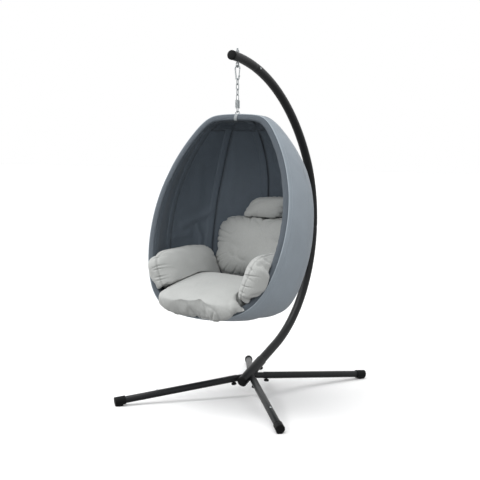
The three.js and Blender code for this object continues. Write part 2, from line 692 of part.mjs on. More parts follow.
// ---------------------------------------------------------------- basket frame
const HOOP_ROWS = sectionsAt(FRAME_DEPTH);
const HOOP_MIDDLE_Z = 1026;
const HOOP_NORMAL = new THREE.Vector3(0, Math.cos(RIM_TILT), -Math.sin(RIM_TILT));
const HOOP_UP = new THREE.Vector3(0, Math.sin(RIM_TILT), Math.cos(RIM_TILT));
const HOOP_MIDDLE = new THREE.Vector3(0, rimY(HOOP_MIDDLE_Z), HOOP_MIDDLE_Z)
  .addScaledVector(HOOP_NORMAL, HOOP.behindRim);

// In the hoop's plane, the distance from its middle to the frame's surface at an angle from its +X axis.
function hoopRadius(angle) {
  let low = 0;
  let high = 900;
  for (let i = 0; i < 40; i += 1) {
    const middle = (low + high) / 2;
    const x = middle * Math.cos(angle);
    const p = HOOP_MIDDLE.clone().addScaledVector(HOOP_UP, middle * Math.sin(angle));
    const inside = p.z > HOOP_ROWS[0][0] && p.z < HOOP_ROWS[HOOP_ROWS.length - 1][0]
      && Math.hypot(x, p.y - centreAt(HOOP_ROWS, p.z)) < radiusAt(HOOP_ROWS, p.z);
    if (inside) low = middle;
    else high = middle;
  }
  return low;
}

const HOOP_TOP = HOOP_MIDDLE.clone().addScaledVector(HOOP_UP, hoopRadius(Math.PI / 2));

function buildHoop() {
  const outlinePoints = 120;
  const outline = Array.from({ length: outlinePoints }, (_, i) => {
    const angle = (i / outlinePoints) * 2 * Math.PI;
    const r = hoopRadius(angle);
    return new THREE.Vector3(r * Math.cos(angle), r * Math.sin(angle), 0);
  });
  const evenCurve = new THREE.CatmullRomCurve3(outline, true);
  const loop = (u) => evenCurve.getPointAt(u).toArray();
  const flat = loopWire(loop, HOOP.radius, HOOP.sides, HOOP.steps);
  const across = new THREE.Vector3(1, 0, 0);
  const basis = new THREE.Matrix4().makeBasis(across, HOOP_UP, HOOP_NORMAL.clone().negate());
  flat.applyMatrix4(basis);
  flat.translate(HOOP_MIDDLE.x, HOOP_MIDDLE.y, HOOP_MIDDLE.z);
  place('rim_hoop', flat, frameSteel());
  buildHangerLoop();
}

// The hanger loop: an inverted U of wire standing on the hoop's top, in the XZ plane.
function buildHangerLoop() {
  const top = LOWER_LOOP_Z + BAR.wire + HANGER.wire + GAP;
  const foot = HOOP_TOP.z + HOOP.radius + 1.2;
  const bendRadius = 6;
  const shoulder = (sign) => [
    new THREE.Vector3(sign * HANGER.halfWidth, 0, foot),
    new THREE.Vector3(sign * HANGER.halfWidth, 0, top - bendRadius),
    new THREE.Vector3(sign * (HANGER.halfWidth - bendRadius * 0.3), 0, top - bendRadius * 0.3),
    new THREE.Vector3(sign * (HANGER.halfWidth - bendRadius), 0, top),
  ];
  const points = [...shoulder(-1), ...shoulder(1).reverse()];
  place('hanger_loop', wire(points, HANGER.wire, 6, 22), zincSteel());
}

// Ribs follow the basket from the crown plate to the base plate.
function buildRibs() {
  const rows = sectionsAt(FRAME_DEPTH);
  const clear = 1.5;
  for (const [side, degrees] of Object.entries(RIB.angles)) {
    const sin = Math.sin(degrees * RAD);
    const cos = Math.cos(degrees * RAD);
    const points = [];
    for (const [z, r, c] of rows) {
      const atBase = z < HOOP_MIDDLE_Z && r < BASE_PLATE.radius;
      const atCrown = z > HOOP_MIDDLE_Z && r < CROWN_PLATE.radius;
      if (!atBase && !atCrown) points.push(new THREE.Vector3(-r * sin, c + r * cos, z));
    }
    const start = platePoint(rows[0], BASE_PLATE.radius + clear, sin, cos);
    const end = platePoint(rows[rows.length - 1], CROWN_PLATE.radius + clear, sin, cos);
    place(`rib_${side}`, wire([start, ...points, end], RIB.radius, 6, 20), frameSteel());
  }
  buildPlates(rows);
}

const platePoint = ([z, , c], reach, sin, cos) => new THREE.Vector3(-reach * sin, c + reach * cos, z);

function buildPlates(rows) {
  const base = rows[0];
  const crown = rows[rows.length - 1];
  const disc = (plate, [z, , c]) => {
    const half = plate.thickness / 2;
    return rod(plate.radius - 6, z - half, z + half, new THREE.Vector3(0, c, 0), UP, 20);
  };
  place('base_plate', disc(BASE_PLATE, base), frameSteel());
  place('crown_plate', disc(CROWN_PLATE, crown), frameSteel());
}

// ---------------------------------------------------------------- cushions
// Distance scale of a direction in a cushion: a squared-off outline with a crowned section across it.
function cushionGauge(p, thin) {
  const shares = [Math.abs(p.x), Math.abs(p.y), Math.abs(p.z)];
  const [crown] = shares.splice(thin, 1);
  const powers = shares.reduce((sum, share) => sum + share ** OUTLINE_SQUARENESS, 0);
  const edge = powers ** (1 / OUTLINE_SQUARENESS);
  return (edge ** CROWN_ROUNDNESS + crown ** CROWN_ROUNDNESS) ** (1 / CROWN_ROUNDNESS);
}

// A cushion's full form, set in place; grow adds to every half size.
function cushionBlank({ centre, half, turns, thin, shear }, grow) {
  const geometry = new THREE.SphereGeometry(1, CUSHION_MESH.around, CUSHION_MESH.rows);
  const position = geometry.attributes.position;
  for (let i = 0; i < position.count; i += 1) {
    const p = new THREE.Vector3().fromBufferAttribute(position, i);
    p.divideScalar(cushionGauge(p, thin));
    const z = p.z * (half[2] + grow);
    position.setXYZ(i, p.x * (half[0] + grow) + shear * z, p.y * (half[1] + grow), z);
  }
  const [turnX, turnY, turnZ] = turns.map((turn) => turn * RAD);
  geometry.rotateX(turnX).rotateY(turnY).rotateZ(turnZ);
  return geometry.translate(...centre);
}

function buildCushions() {
  const inBasket = eggSolid(CAVITY_END + FABRIC + CUSHION_CLEARANCE + 2, BASKET_SIDES);
  const room = join(inBasket, frontBlock(-OVER_HEM));
  const before = [];
  for (const [name, cushion] of Object.entries(CUSHIONS)) {
    const inside = common(cushionBlank(cushion, 0), room);
    const clear = cut(inside, ...before.map((other) => cushionBlank(other, CUSHION_CLEARANCE)));
    place(name, biggestPart(clear), cushionFabric());
    before.push(cushion);
  }
}

// ---------------------------------------------------------------- the whole chair
buildHub();
buildPost();
buildLegs();
buildEyeBolt();
buildSnapHook();
buildChain();
buildSpring();
buildHoop();
buildShells();
buildRibs();
buildCushions();

export default group;
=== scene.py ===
import math

import bmesh
import bpy
import numpy as np
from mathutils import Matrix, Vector, noise


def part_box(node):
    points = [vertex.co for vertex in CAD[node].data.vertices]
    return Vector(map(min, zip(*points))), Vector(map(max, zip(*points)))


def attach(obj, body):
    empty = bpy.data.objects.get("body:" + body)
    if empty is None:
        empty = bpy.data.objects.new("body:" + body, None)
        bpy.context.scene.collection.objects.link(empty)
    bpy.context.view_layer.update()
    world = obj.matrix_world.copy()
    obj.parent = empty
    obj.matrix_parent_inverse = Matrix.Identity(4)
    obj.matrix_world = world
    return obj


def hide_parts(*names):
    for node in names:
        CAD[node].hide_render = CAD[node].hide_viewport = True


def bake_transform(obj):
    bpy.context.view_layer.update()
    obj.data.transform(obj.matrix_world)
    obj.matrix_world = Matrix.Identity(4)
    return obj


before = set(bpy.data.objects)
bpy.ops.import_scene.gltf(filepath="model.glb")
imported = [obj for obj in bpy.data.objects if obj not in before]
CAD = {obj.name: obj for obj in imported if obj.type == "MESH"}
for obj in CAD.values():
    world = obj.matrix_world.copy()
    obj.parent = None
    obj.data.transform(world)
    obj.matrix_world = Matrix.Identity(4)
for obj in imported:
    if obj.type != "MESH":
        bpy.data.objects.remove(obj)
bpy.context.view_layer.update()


def middle(node):
    low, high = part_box(node)
    return (low + high) / 2


# ---------------------------------------------------------------- sizes read from the frame
HANG_Y = middle("eye_bolt").y
SHELL_LOW, SHELL_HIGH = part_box("basket_shell")
EGG_HEIGHT = SHELL_HIGH.z - SHELL_LOW.z
EGG_RADIUS = (SHELL_HIGH.x - SHELL_LOW.x) / 2

# ---------------------------------------------------------------- driving dimensions
# Post: a straight foot, a tight bend, then a wide bend over the basket, all in the x = 0 plane
POST_START = (HANG_Y + 0.050, 0.092)
POST_HEADING = math.radians(20.1)
POST_PARTS = ((0.416, None), (0.762, math.radians(100.2)), (1.151, math.radians(54.6)))
POST_RADIUS = 0.0254
POST_STEP = 0.012               # from one ring of the tube's mesh to the next
MID_JOINT = 1.295
TOP_JOINT = 2.600
SLEEVE_ENDS = (0.006, 0.238)
SLEEVE_RADIUS = 0.0288
POST_KNOB_AT = SLEEVE_ENDS[1] - 0.026
MID_BOLT_AT = MID_JOINT + 0.050
ARM_SCREW_AT = TOP_JOINT - 0.028

# Legs
HUB = Vector((0, HANG_Y + 0.150, 0.109))
LEG_REACH = 0.790
LEG_TIP_Z = 0.025
LEG_START = 0.086
LEG_RADIUS = 0.0194
STUB_RADIUS = 0.0168
LEG_KNOB_AT = 0.106
LEG_SCREW_AT = 0.552
LEG_HEADINGS = {"front_left": -130.4, "front_right": -49.6, "rear_left": 120.8, "rear_right": 59.2}
CAP_RADIUS = 0.024
CAP_END = LEG_REACH + 0.006
CAP_LENGTH = 0.060

# Hanging hardware
EYE_RING = 0.012
WIRE = 0.004
LINK_WIRE = 0.00275
BAR_WIRE = 0.00225
COIL_WIRE = 0.0018
COIL_RADIUS = 0.0113
COIL_TURNS = 9
HANGER_WIRE = 0.003

# Basket: share of the height, share of the radius, and centre behind the hanging axis
EGG_PROFILE = (
    (0.0, 0.0, -0.072), (0.0036, 0.2339, -0.073), (0.0163, 0.4788, -0.079), (0.038, 0.6414, -0.093),
    (0.0679, 0.7572, -0.107), (0.1168, 0.8486, -0.116), (0.1848, 0.9176, -0.112), (0.2844, 0.9755, -0.094),
    (0.3976, 1.0, -0.069), (0.5109, 0.9866, -0.044), (0.6105, 0.9443, -0.021), (0.692, 0.882, -0.002),
    (0.769, 0.7996, 0.010), (0.8415, 0.6949, 0.015), (0.9094, 0.5724, 0.017), (0.9565, 0.4655, 0.017),
    (0.9837, 0.3653, 0.020), (0.9955, 0.2428, 0.030), (1.0, 0.0, 0.044),
)
RIM_SLOPE = 0.357
RIM_POINT = Vector((0, HANG_Y - 0.046, 1.486))
RIM_MIDDLE_Z = 1.026
LINING_DEPTH = 0.032
SEAM_ANGLES = (-84, -43, 0, 43, 84)
HEM_BACK = 0.030
HEM_JOIN = 0.0275               # run along the hem's section to where the two fabrics meet
LINING_TWIST = 5.0              # how far the lining hangs round from the outer seams, in degrees
CEILING_SEAM_Z = 1.504
TUNNEL_HALF = 0.021
CLOTH_THICKNESS = 0.002
SEAM_HALF = 0.007
SHELL_SAG = 0.007               # how far in each panel of fabric is drawn between its seams
LINING_SAG = 0.008
TUCK_DEPTH = 0.008              # tucks beside the rib tunnels
CEILING_TUCK = 0.006
BASE_PATCH = 0.075
CROWN_PATCH = 0.036             # small enough to stay behind the rim's hem
SEAM_ENDS = (0.065, 0.030)      # radii where the upright seams stop, under the two patches
TUNNEL_ENDS = (0.07, 0.05)

# Cushions, each cut to clear the ones before it: centre behind the hanging axis, half sizes, turns about X, Y
# and Z in degrees, thin axis, sideways shift per unit of height, the seam's place along the thin axis as a
# share of the half size, how far filling may push it, and its creases' depth and reach
CUSHIONS = {
    "arm_cushion_right": dict(
        centre=(0.288, -0.136, 0.711), half=(0.104, 0.270, 0.150), turns=(-3, 20, 4), thin=0, shear=0,
        seam_at=-0.30, travel=0.024, gather=0.0070, reach=0.050, seed=23,
    ),
    "seat_cushion": dict(
        centre=(0.003, -0.218, 0.616), half=(0.296, 0.244, 0.092), turns=(9, 3, 0), thin=2, shear=0,
        seam_at=-0.50, travel=0.028, gather=0.0058, reach=0.070, seed=3,
    ),
    "arm_cushion_left": dict(
        centre=(-0.274, -0.104, 0.705), half=(0.102, 0.272, 0.152), turns=(1, -20, -4), thin=0, shear=0,
        seam_at=0.30, travel=0.024, gather=0.0070, reach=0.050, seed=11,
    ),
    "back_cushion": dict(
        centre=(0.004, 0.220, 0.838), half=(0.264, 0.098, 0.182), turns=(-15, 0, 0), thin=1, shear=0,
        seam_at=-0.45, travel=0.026, gather=0.0070, reach=0.055, seed=31,
    ),
    "head_pillow": dict(
        centre=(0.050, 0.252, 1.058), half=(0.126, 0.062, 0.068), turns=(-13, 0, 0), thin=1, shear=0.55,
        seam_at=-0.30, travel=0.018, gather=0.0050, reach=0.035, seed=47,
    ),
}
CUSHION_ORDER = list(CUSHIONS)
OUTLINE_SQUARENESS = 4.2
CROWN_ROUNDNESS = 2.3
OVER_HEM = -0.010
PLEAT_SPACING = 0.042
CUSHION_GAP = 0.0012
BLANK_INSET = 0.002             # how much smaller a cushion starts, before it is filled
ROOM_DEPTH = 0.035
VOXEL = 0.007
CLOTH_FRAMES = 20
PRESSURE = 4.0
SEAM_SUNK = 0.0040              # how far the seam round a cushion lies under its faces, and its width
SEAM_WIDTH = 0.0050
WRINKLE_DEPTH = 0.0026
SEWN_PROUD = 0.005              # how far sewing may push a face out of the cushion's space
SEWN_ROOM = 0.008               # where a point that leaves that room is drawn back towards

SKY_HEIGHTS = (-0.55, 0.15)     # between these heights the sky's strength rises from the first to the second
SKY_GLOW = (0.42, 0.86)
FLOOR_HALF = 30.0
CAMERA_PLACE = (2.8053, -5.0256, 1.486)
CAMERA_TURN = (83.95, 0, 30.35)
CAMERA_LENS = 75.73


# ---------------------------------------------------------------- node materials
STITCH_PITCH = 0.0055           # from one stitch to the next
STITCH_THREAD = 0.0008          # half the thread's width
STITCH_SHARE = 0.62             # how much of the pitch a stitch takes up


class Look:
    """A procedural material put together node by node, in the space of the object it covers."""

    def __init__(self, name):
        self.material = bpy.data.materials.new(name)
        self.material.use_nodes = True
        self.tree = self.material.node_tree
        self.surface = self.tree.nodes["Principled BSDF"]
        self.coordinates = self.tree.nodes.new("ShaderNodeTexCoord")

    def node(self, kind, inputs=None, **settings):
        made = self.tree.nodes.new(kind)
        for key, value in settings.items():
            setattr(made, key, value)
        for key, value in (inputs or {}).items():
            self.feed(made.inputs[key], value)
        return made

    def feed(self, socket, value):
        if isinstance(value, bpy.types.NodeSocket):
            self.tree.links.new(value, socket)
        else:
            socket.default_value = value

    def math(self, operation, first, second=0.0):
        return self.node("ShaderNodeMath", {0: first, 1: second}, operation=operation).outputs[0]

    def noise(self, scale, detail=2.0, stretch=(1, 1, 1)):
        here = self.coordinates.outputs["Object"]
        place = self.node("ShaderNodeMapping", {"Vector": here, "Scale": stretch})
        inputs = {"Vector": place.outputs[0], "Scale": scale, "Detail": detail}
        return self.node("ShaderNodeTexNoise", inputs).outputs["Fac"]

    def between(self, value, low, high, to_low=0.0, to_high=1.0):
        inputs = {"Value": value, "From Min": low, "From Max": high, "To Min": to_low, "To Max": to_high}
        return self.node("ShaderNodeMapRange", inputs).outputs[0]

    def mix(self, share, first, second):
        made = self.node("ShaderNodeMix", {0: share, 6: first, 7: second}, data_type="RGBA")
        return made.outputs[2]

    def bump(self, height, distance, normal=None):
        inputs = {"Height": height, "Distance": distance}
        if normal is not None:
            inputs["Normal"] = normal
        return self.node("ShaderNodeBump", inputs).outputs[0]

    def attribute(self, name):
        return self.node("ShaderNodeAttribute", attribute_name=name).outputs["Fac"]

    def weave(self, pitch):
        """Threads crossing over and under, drawn on the two axes that lie along the surface."""
        place = self.node("ShaderNodeSeparateXYZ", {0: self.coordinates.outputs["Object"]})
        facing = self.node("ShaderNodeSeparateXYZ", {0: self.coordinates.outputs["Normal"]})
        turns = [self.math("MULTIPLY", place.outputs[i], 2 * math.pi / pitch) for i in range(3)]
        waves = [self.math("SINE", turn) for turn in turns]
        total = 0.0
        for i in range(3):
            weight = self.math("POWER", self.math("ABSOLUTE", facing.outputs[i]), 2.0)
            threads = self.math("MULTIPLY", waves[(i + 1) % 3], waves[(i + 2) % 3])
            total = self.math("ADD", total, self.math("MULTIPLY", weight, threads))
        return self.between(total, -1.0, 1.0)

    def set(self, **values):
        for key, value in values.items():
            self.feed(self.surface.inputs[key.replace("_", " ")], value)
        return self.material


def srgb(text):
    """A linear colour from its six-digit screen colour."""
    parts = [int(text[i:i + 2], 16) / 255 for i in (0, 2, 4)]
    return [p / 12.92 if p <= 0.04045 else ((p + 0.055) / 1.055) ** 2.4 for p in parts] + [1.0]


def scaled(colour, factor, add=0.0):
    """A linear colour made lighter or darker."""
    return [min(1.0, part * factor + add) for part in colour[:3]] + [1.0]


def fabric(name, colour, pitch, rough, sheen, crease=0.0012):
    """Woven polyester: threads, slubs, faint creases, painted shade darkening its seams, tucks and creases,
    and dashed stitches.
    """
    look = Look(name)
    threads = look.weave(pitch)
    slubs = look.noise(260, 3, (1, 1, 0.25))
    broad = look.noise(7, 3)
    creases = look.noise(16, 4, (1, 1, 0.5))
    base = srgb(colour)
    tone = look.math("ADD", look.math("MULTIPLY", threads, 0.30), look.math("MULTIPLY", slubs, 0.35))
    tone = look.math("ADD", tone, look.math("MULTIPLY", broad, 0.35))
    cloth = look.mix(look.between(tone, 0.25, 0.75), scaled(base, 0.80), scaled(base, 1.14))
    # painted shade: where a piece marks shade in its seams, tucks and creases, the cloth is darkened towards
    # a third of its colour
    painted_shade = look.attribute("painted_shade")
    cloth = look.mix(look.math("MULTIPLY", painted_shade, 0.55), cloth, scaled(base, 0.35))
    stitch = stitch_mask(look)
    cloth = look.mix(stitch, cloth, scaled(base, 1.5, 0.02))
    normal = look.bump(creases, crease)
    normal = look.bump(threads, pitch * 0.22, normal)
    normal = look.bump(stitch, STITCH_THREAD * 0.75, normal)
    roughness = look.between(look.math("ADD", slubs, broad), 0.6, 1.4, rough - 0.07, rough + 0.07)
    return look.set(
        Base_Color=cloth, Roughness=roughness, Normal=normal, Sheen_Weight=sheen, Sheen_Roughness=0.45,
        Specular_IOR_Level=0.35,
    )


def stitch_mask(look):
    """Dashes where a piece's stitch attribute (distance to the nearest row, plus one) is close to one."""
    away = look.math("ABSOLUTE", look.math("SUBTRACT", look.attribute("stitch"), 1.0))
    on_row = look.math("LESS_THAN", away, STITCH_THREAD)
    along = look.math("FRACT", look.math("MULTIPLY", look.attribute("along"), 1 / STITCH_PITCH))
    return look.math("MULTIPLY", on_row, look.math("LESS_THAN", along, STITCH_SHARE))


def powder_coat(name, colour, rough):
    """Satin powder coat: orange peel, faint mottling and lighter worn edges."""
    look = Look(name)
    peel = look.noise(700, 2)
    mottle = look.noise(9, 4)
    edge = look.between(look.node("ShaderNodeNewGeometry").outputs["Pointiness"], 0.53, 0.62)
    worn = look.math("MULTIPLY", edge, look.between(look.noise(120, 3), 0.45, 0.65))
    base = srgb(colour)
    paint = look.mix(mottle, scaled(base, 0.75), scaled(base, 1.35))
    paint = look.mix(look.math("MULTIPLY", worn, 0.4), paint, srgb("55585b"))
    roughness = look.between(look.math("ADD", mottle, peel), 0.6, 1.4, rough - 0.06, rough + 0.08)
    return look.set(
        Base_Color=paint, Roughness=roughness, Normal=look.bump(peel, 0.00025), Specular_IOR_Level=0.28,
        Coat_Weight=0.06, Coat_Roughness=0.25,
    )


def moulded_plastic(name, colour):
    """Moulded plastic: fine spark-eroded grain and a few lighter scuffs."""
    look = Look(name)
    grain = look.noise(1500, 1)
    scuffs = look.between(look.noise(38, 6, (1, 1, 3)), 0.60, 0.78)
    base = srgb(colour)
    body = look.mix(look.math("MULTIPLY", scuffs, 0.25), base, srgb("2c2e30"))
    roughness = look.between(look.noise(25, 3), 0.3, 0.7, 0.48, 0.62)
    normal = look.bump(grain, 0.0002)
    return look.set(Base_Color=body, Roughness=roughness, Normal=normal, Specular_IOR_Level=0.18)


def zinc(name):
    """Bright zinc plate: soft mottling, fine drawing lines and dull patches."""
    look = Look(name)
    spangle = look.noise(180, 3)
    lines = look.noise(900, 2, (1, 1, 0.1))
    metal = look.mix(spangle, srgb("9aa0a2"), srgb("d3d7d8"))
    metal = look.mix(look.between(look.noise(60, 5), 0.60, 0.75, 0.0, 0.35), metal, srgb("7b7d7c"))
    roughness = look.between(look.math("ADD", spangle, lines), 0.6, 1.4, 0.24, 0.42)
    return look.set(Base_Color=metal, Metallic=0.92, Roughness=roughness, Normal=look.bump(lines, 0.00015))


BLACK_STEEL = powder_coat("black_steel_look", "101214", 0.34)
FRAME_STEEL = powder_coat("frame_steel_look", "3a3d40", 0.48)
BLACK_PLASTIC = moulded_plastic("black_plastic_look", "08090a")
ZINC = zinc("zinc_look")
SHELL_FABRIC = fabric("shell_fabric_look", "949ea7", 0.0016, 0.62, 0.15)
LINING_FABRIC = fabric("lining_fabric_look", "5a646e", 0.0018, 0.66, 0.12, 0.0020)
HEM_FABRIC = fabric("hem_fabric_look", "535b63", 0.0018, 0.66, 0.12, 0.0020)
CUSHION_FABRIC = fabric("cushion_fabric_look", "b2b4b2", 0.0014, 0.64, 0.25, 0.0016)
# piping cord a little lighter than the shell: partly its own colour, partly a painted highlight along the
# rim's outer front corner
PIPING = fabric("piping_look", "a3adb5", 0.0012, 0.50, 0.25)
WEBBING = fabric("webbing_look", "9ba1a3", 0.0030, 0.70, 0.25)


# ---------------------------------------------------------------- shapes: (points, faces) pairs
def merge(*shapes):
    points, faces = [], []
    for shape_points, shape_faces in shapes:
        start = len(points)
        points.extend(shape_points)
        faces.extend([tuple(i + start for i in face) for face in shape_faces])
    return points, faces


def grid_faces(rows, columns, wrap_rows=False, wrap_columns=False):
    faces = []
    for i in range(rows if wrap_rows else rows - 1):
        for j in range(columns if wrap_columns else columns - 1):
            here, below, beside = i * columns, (i + 1) % rows * columns, (j + 1) % columns
            faces.append((here + j, here + beside, below + beside, below + j))
    return faces


def side_frame(direction):
    """Two unit vectors square to a direction and to each other."""
    direction = Vector(direction).normalized()
    helper = Vector((1, 0, 0)) if abs(direction.x) < 0.9 else Vector((0, 1, 0))
    first = direction.cross(helper).normalized()
    return first, direction.cross(first)


def lathe(outline, at, direction, segments=48, flutes=0, flute_depth=0.0, flute_from=1.0):
    """A turned solid; outline is (radius, along) pairs. Flutes scallop the part beyond flute_from."""
    at, direction = Vector(at), Vector(direction).normalized()
    first, second = side_frame(direction)
    points = []
    for radius, along in outline:
        for k in range(segments):
            angle = 2 * math.pi * k / segments
            dip = flute_depth * (0.5 - 0.5 * math.cos(flutes * angle)) if along > flute_from else 0.0
            reach = max(radius - dip, 0.0) if radius > 2 * dip else radius
            out = first * math.cos(angle) + second * math.sin(angle)
            points.append(at + direction * along + out * reach)
    return points, grid_faces(len(outline), segments, wrap_columns=True)


def rounded(outline, radius, steps=4):
    """The outline with its inner corners rounded off."""
    made = [outline[0]]
    for before, corner, after in zip(outline, outline[1:], outline[2:]):
        corner = Vector(corner)
        back, ahead = Vector(before) - corner, Vector(after) - corner
        size = min(radius, back.length * 0.45, ahead.length * 0.45)
        start, end = corner + back.normalized() * size, corner + ahead.normalized() * size
        for k in range(steps + 1):
            t = k / steps
            made.append(tuple(start * (1 - t) ** 2 + corner * (2 * t * (1 - t)) + end * t ** 2))
    made.append(outline[-1])
    return made


def tube(path, radius, sides, closed=False):
    """A round tube or wire along a path of points, capped at both ends unless it is closed."""
    path = [Vector(p) for p in path]
    count = len(path)
    points = []
    normal = None
    for i, here in enumerate(path):
        before = path[i - 1] if i > 0 or closed else here
        after = path[(i + 1) % count] if i < count - 1 or closed else here
        along = (after - before).normalized()
        if normal is None:
            normal = side_frame(along)[0]
        normal = (normal - along * normal.dot(along)).normalized()
        other = along.cross(normal)
        for k in range(sides):
            angle = 2 * math.pi * k / sides
            points.append(here + (normal * math.cos(angle) + other * math.sin(angle)) * radius)
    faces = grid_faces(count, sides, wrap_rows=closed, wrap_columns=True)
    if not closed:
        faces.append(tuple(range(sides - 1, -1, -1)))
        faces.append(tuple(range((count - 1) * sides, count * sides)))
    return points, faces


def curve_through(points, steps=6, closed=False):
    """A smooth path through points, by Catmull-Rom."""
    points = [Vector(p) for p in points]
    count = len(points)
    made = []
    for i in range(count if closed else count - 1):
        p1, p2 = points[i], points[(i + 1) % count]
        p0 = points[i - 1] if closed or i > 0 else p1 * 2 - p2
        p3 = points[(i + 2) % count] if closed or i + 2 < count else p2 * 2 - p1
        for k in range(steps):
            t = k / steps
            made.append(
                0.5 * (2 * p1 + (p2 - p0) * t + (2 * p0 - 5 * p1 + 4 * p2 - p3) * t ** 2
                       + (3 * p1 - p0 - 3 * p2 + p3) * t ** 3)
            )
    if not closed:
        made.append(points[-1])
    return made


def piece(name, shape, body, look, stands_for=(), sharp=35, attributes=None):
    """A new object from a shape, riding on a CAD body in the place of some CAD nodes."""
    points, faces = shape
    mesh = bpy.data.meshes.new(name)
    mesh.from_pydata([tuple(p) for p in points], [], faces)
    mesh.validate()
    fixed = bmesh.new()
    fixed.from_mesh(mesh)
    bmesh.ops.recalc_face_normals(fixed, faces=fixed.faces)
    fixed.to_mesh(mesh)
    fixed.free()
    mesh.shade_smooth()
    mesh.set_sharp_from_angle(angle=math.radians(sharp))
    for key, values in (attributes or {}).items():
        layer = mesh.attributes.new(key, "FLOAT", "POINT")
        layer.data.foreach_set("value", np.asarray(values, np.float32))
    mesh.materials.append(look)
    made = bpy.data.objects.new(name, mesh)
    bpy.context.scene.collection.objects.link(made)
    if body:
        settle(made, body, stands_for)
    return made


def settle(made, body, stands_for):
    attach(made, body)
    if stands_for:
        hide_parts(*stands_for)


def stand_in(node, shape, body, look, sharp=35):
    """The visible shape of one CAD node."""
    piece(f"{node}_look", shape, body, look, [node], sharp)


def keep_node(node, look, bevel=0.0):
    """A CAD node that stays: new material, softened edges."""
    obj = CAD[node]
    if not obj.material_slots:
        obj.data.materials.append(look)
    for slot in obj.material_slots:
        slot.link = "OBJECT"
        slot.material = look
    if bevel:
        made = obj.modifiers.new("soft_edges", "BEVEL")
        made.width = bevel
        made.segments = 2
        made.limit_method = "ANGLE"
        made.angle_limit = math.radians(35)


# ---------------------------------------------------------------- stand: post
def post_at(distance):
    """Point on the post's centreline, its direction, and the direction out of the bend."""
    y, z = POST_START
    heading = POST_HEADING
    for size, turn in POST_PARTS:
        length = size if turn is None else size * turn
        step = distance if size == POST_PARTS[-1][0] else min(distance, length)
        if turn is None:
            y, z = y + step * math.cos(heading), z + step * math.sin(heading)
        else:
            after = heading + step / size
            y += size * (math.sin(after) - math.sin(heading))
            z += size * (math.cos(heading) - math.cos(after))
            heading = after
        distance -= step
        if distance <= 0:
            break
    along = Vector((0, math.cos(heading), math.sin(heading)))
    return Vector((0, y, z)), along, Vector((0, along.z, -along.y))


POST_LENGTH = sum(size if turn is None else size * turn for size, turn in POST_PARTS)


def post_run(start, end):
    count = max(2, round((end - start) / POST_STEP))
    return [post_at(start + (end - start) * i / count)[0] for i in range(count + 1)]


def swaged(start, end):
    """A length of post tube whose ends are eased so that each joint shows as a fine line."""
    sides = 48
    path = post_run(start, end)
    points, faces = tube(path, POST_RADIUS, sides)
    ring = 0.0012
    for end_index in (0, len(path) - 1):
        centre = path[end_index]
        for k in range(end_index * sides, (end_index + 1) * sides):
            points[k] = centre + (points[k] - centre) * (1 - ring / POST_RADIUS)
    return points, faces


def build_post():
    gap = 0.0004
    for node, start, end in (
        ("post_lower_tube", 0.012, MID_JOINT - gap),
        ("post_upper_tube", MID_JOINT + gap, TOP_JOINT - gap),
        ("post_top_arm", TOP_JOINT + gap, POST_LENGTH),
    ):
        stand_in(node, swaged(start, end), "stand", BLACK_STEEL, 25)
    top, along, _ = post_at(POST_LENGTH)
    dome = [(0, -0.004), (0.0266, -0.004), (0.0266, 0.009), (0.0235, 0.0135), (0.012, 0.0152), (0, 0.0155)]
    stand_in("post_top_cap", lathe(rounded(dome, 0.003), top, along), "stand", BLACK_PLASTIC)
    foot, along, _ = post_at(SLEEVE_ENDS[0])
    edge = SLEEVE_RADIUS + 0.0008
    plug = [(0, -0.002), (edge, -0.002), (edge, 0.009), (0.026, 0.0130), (0.014, 0.0148), (0, 0.0150)]
    stand_in("hub_end_cap", lathe(rounded(plug, 0.003), foot, -along), "stand", BLACK_PLASTIC)
    build_joint_bolt()
    seat = post_at(ARM_SCREW_AT)[0] + Vector((POST_RADIUS, 0, 0))
    stand_in("top_joint_screw", screw_head(seat, (1, 0, 0)), "stand", ZINC)


def screw_head(seat, out):
    """A pan head with a socket in it, on a short shank."""
    radius, height = 0.0065, 0.0040
    outline = [(0, -0.010), (0.003, -0.010), (0.003, 0.0006), (radius, 0.0006), (radius, height * 0.55),
               (radius * 0.62, height), (0.0028, height), (0.0024, height * 0.45), (0, height * 0.40)]
    return lathe(rounded(outline, 0.0009, 3), seat, out, 36)


def thread(start, end, pitch, crest, root):
    """The outline of a screw thread from one place along its axis to another."""
    made = []
    along = start
    while along < end:
        made += [(crest, along), (root, along + pitch / 2)]
        along += pitch
    return made


def build_joint_bolt():
    point, _, outward = post_at(MID_BOLT_AT)
    head = POST_RADIUS + 0.0012
    start, end = POST_RADIUS + 0.010, POST_RADIUS + 0.0245
    outline = [(0, -head - 0.0060), (0.004, -head - 0.0058), (0.008, -head - 0.0028), (0.008, -head),
               (0.004, -head), (0.004, start)]
    outline += thread(start, end, 0.00125, 0.0040, 0.0035)
    outline += [(0.0034, end + 0.0005), (0, end + 0.0005)]
    stand_in("mid_joint_bolt", lathe(outline, point, outward, 32), "stand", ZINC, 60)
    keep_node("mid_joint_nut", ZINC, 0.0006)


# ---------------------------------------------------------------- stand: hub and legs
def leg_frame(heading):
    """Direction out along a leg and the unit vector square to it pointing up."""
    turn = math.radians(heading)
    drop = math.atan2(HUB.z - LEG_TIP_Z, LEG_REACH)
    along = Vector((math.cos(drop) * math.cos(turn), math.cos(drop) * math.sin(turn), -math.sin(drop)))
    side = Vector((0, 0, 1)).cross(along).normalized()
    return along, along.cross(side).normalized()


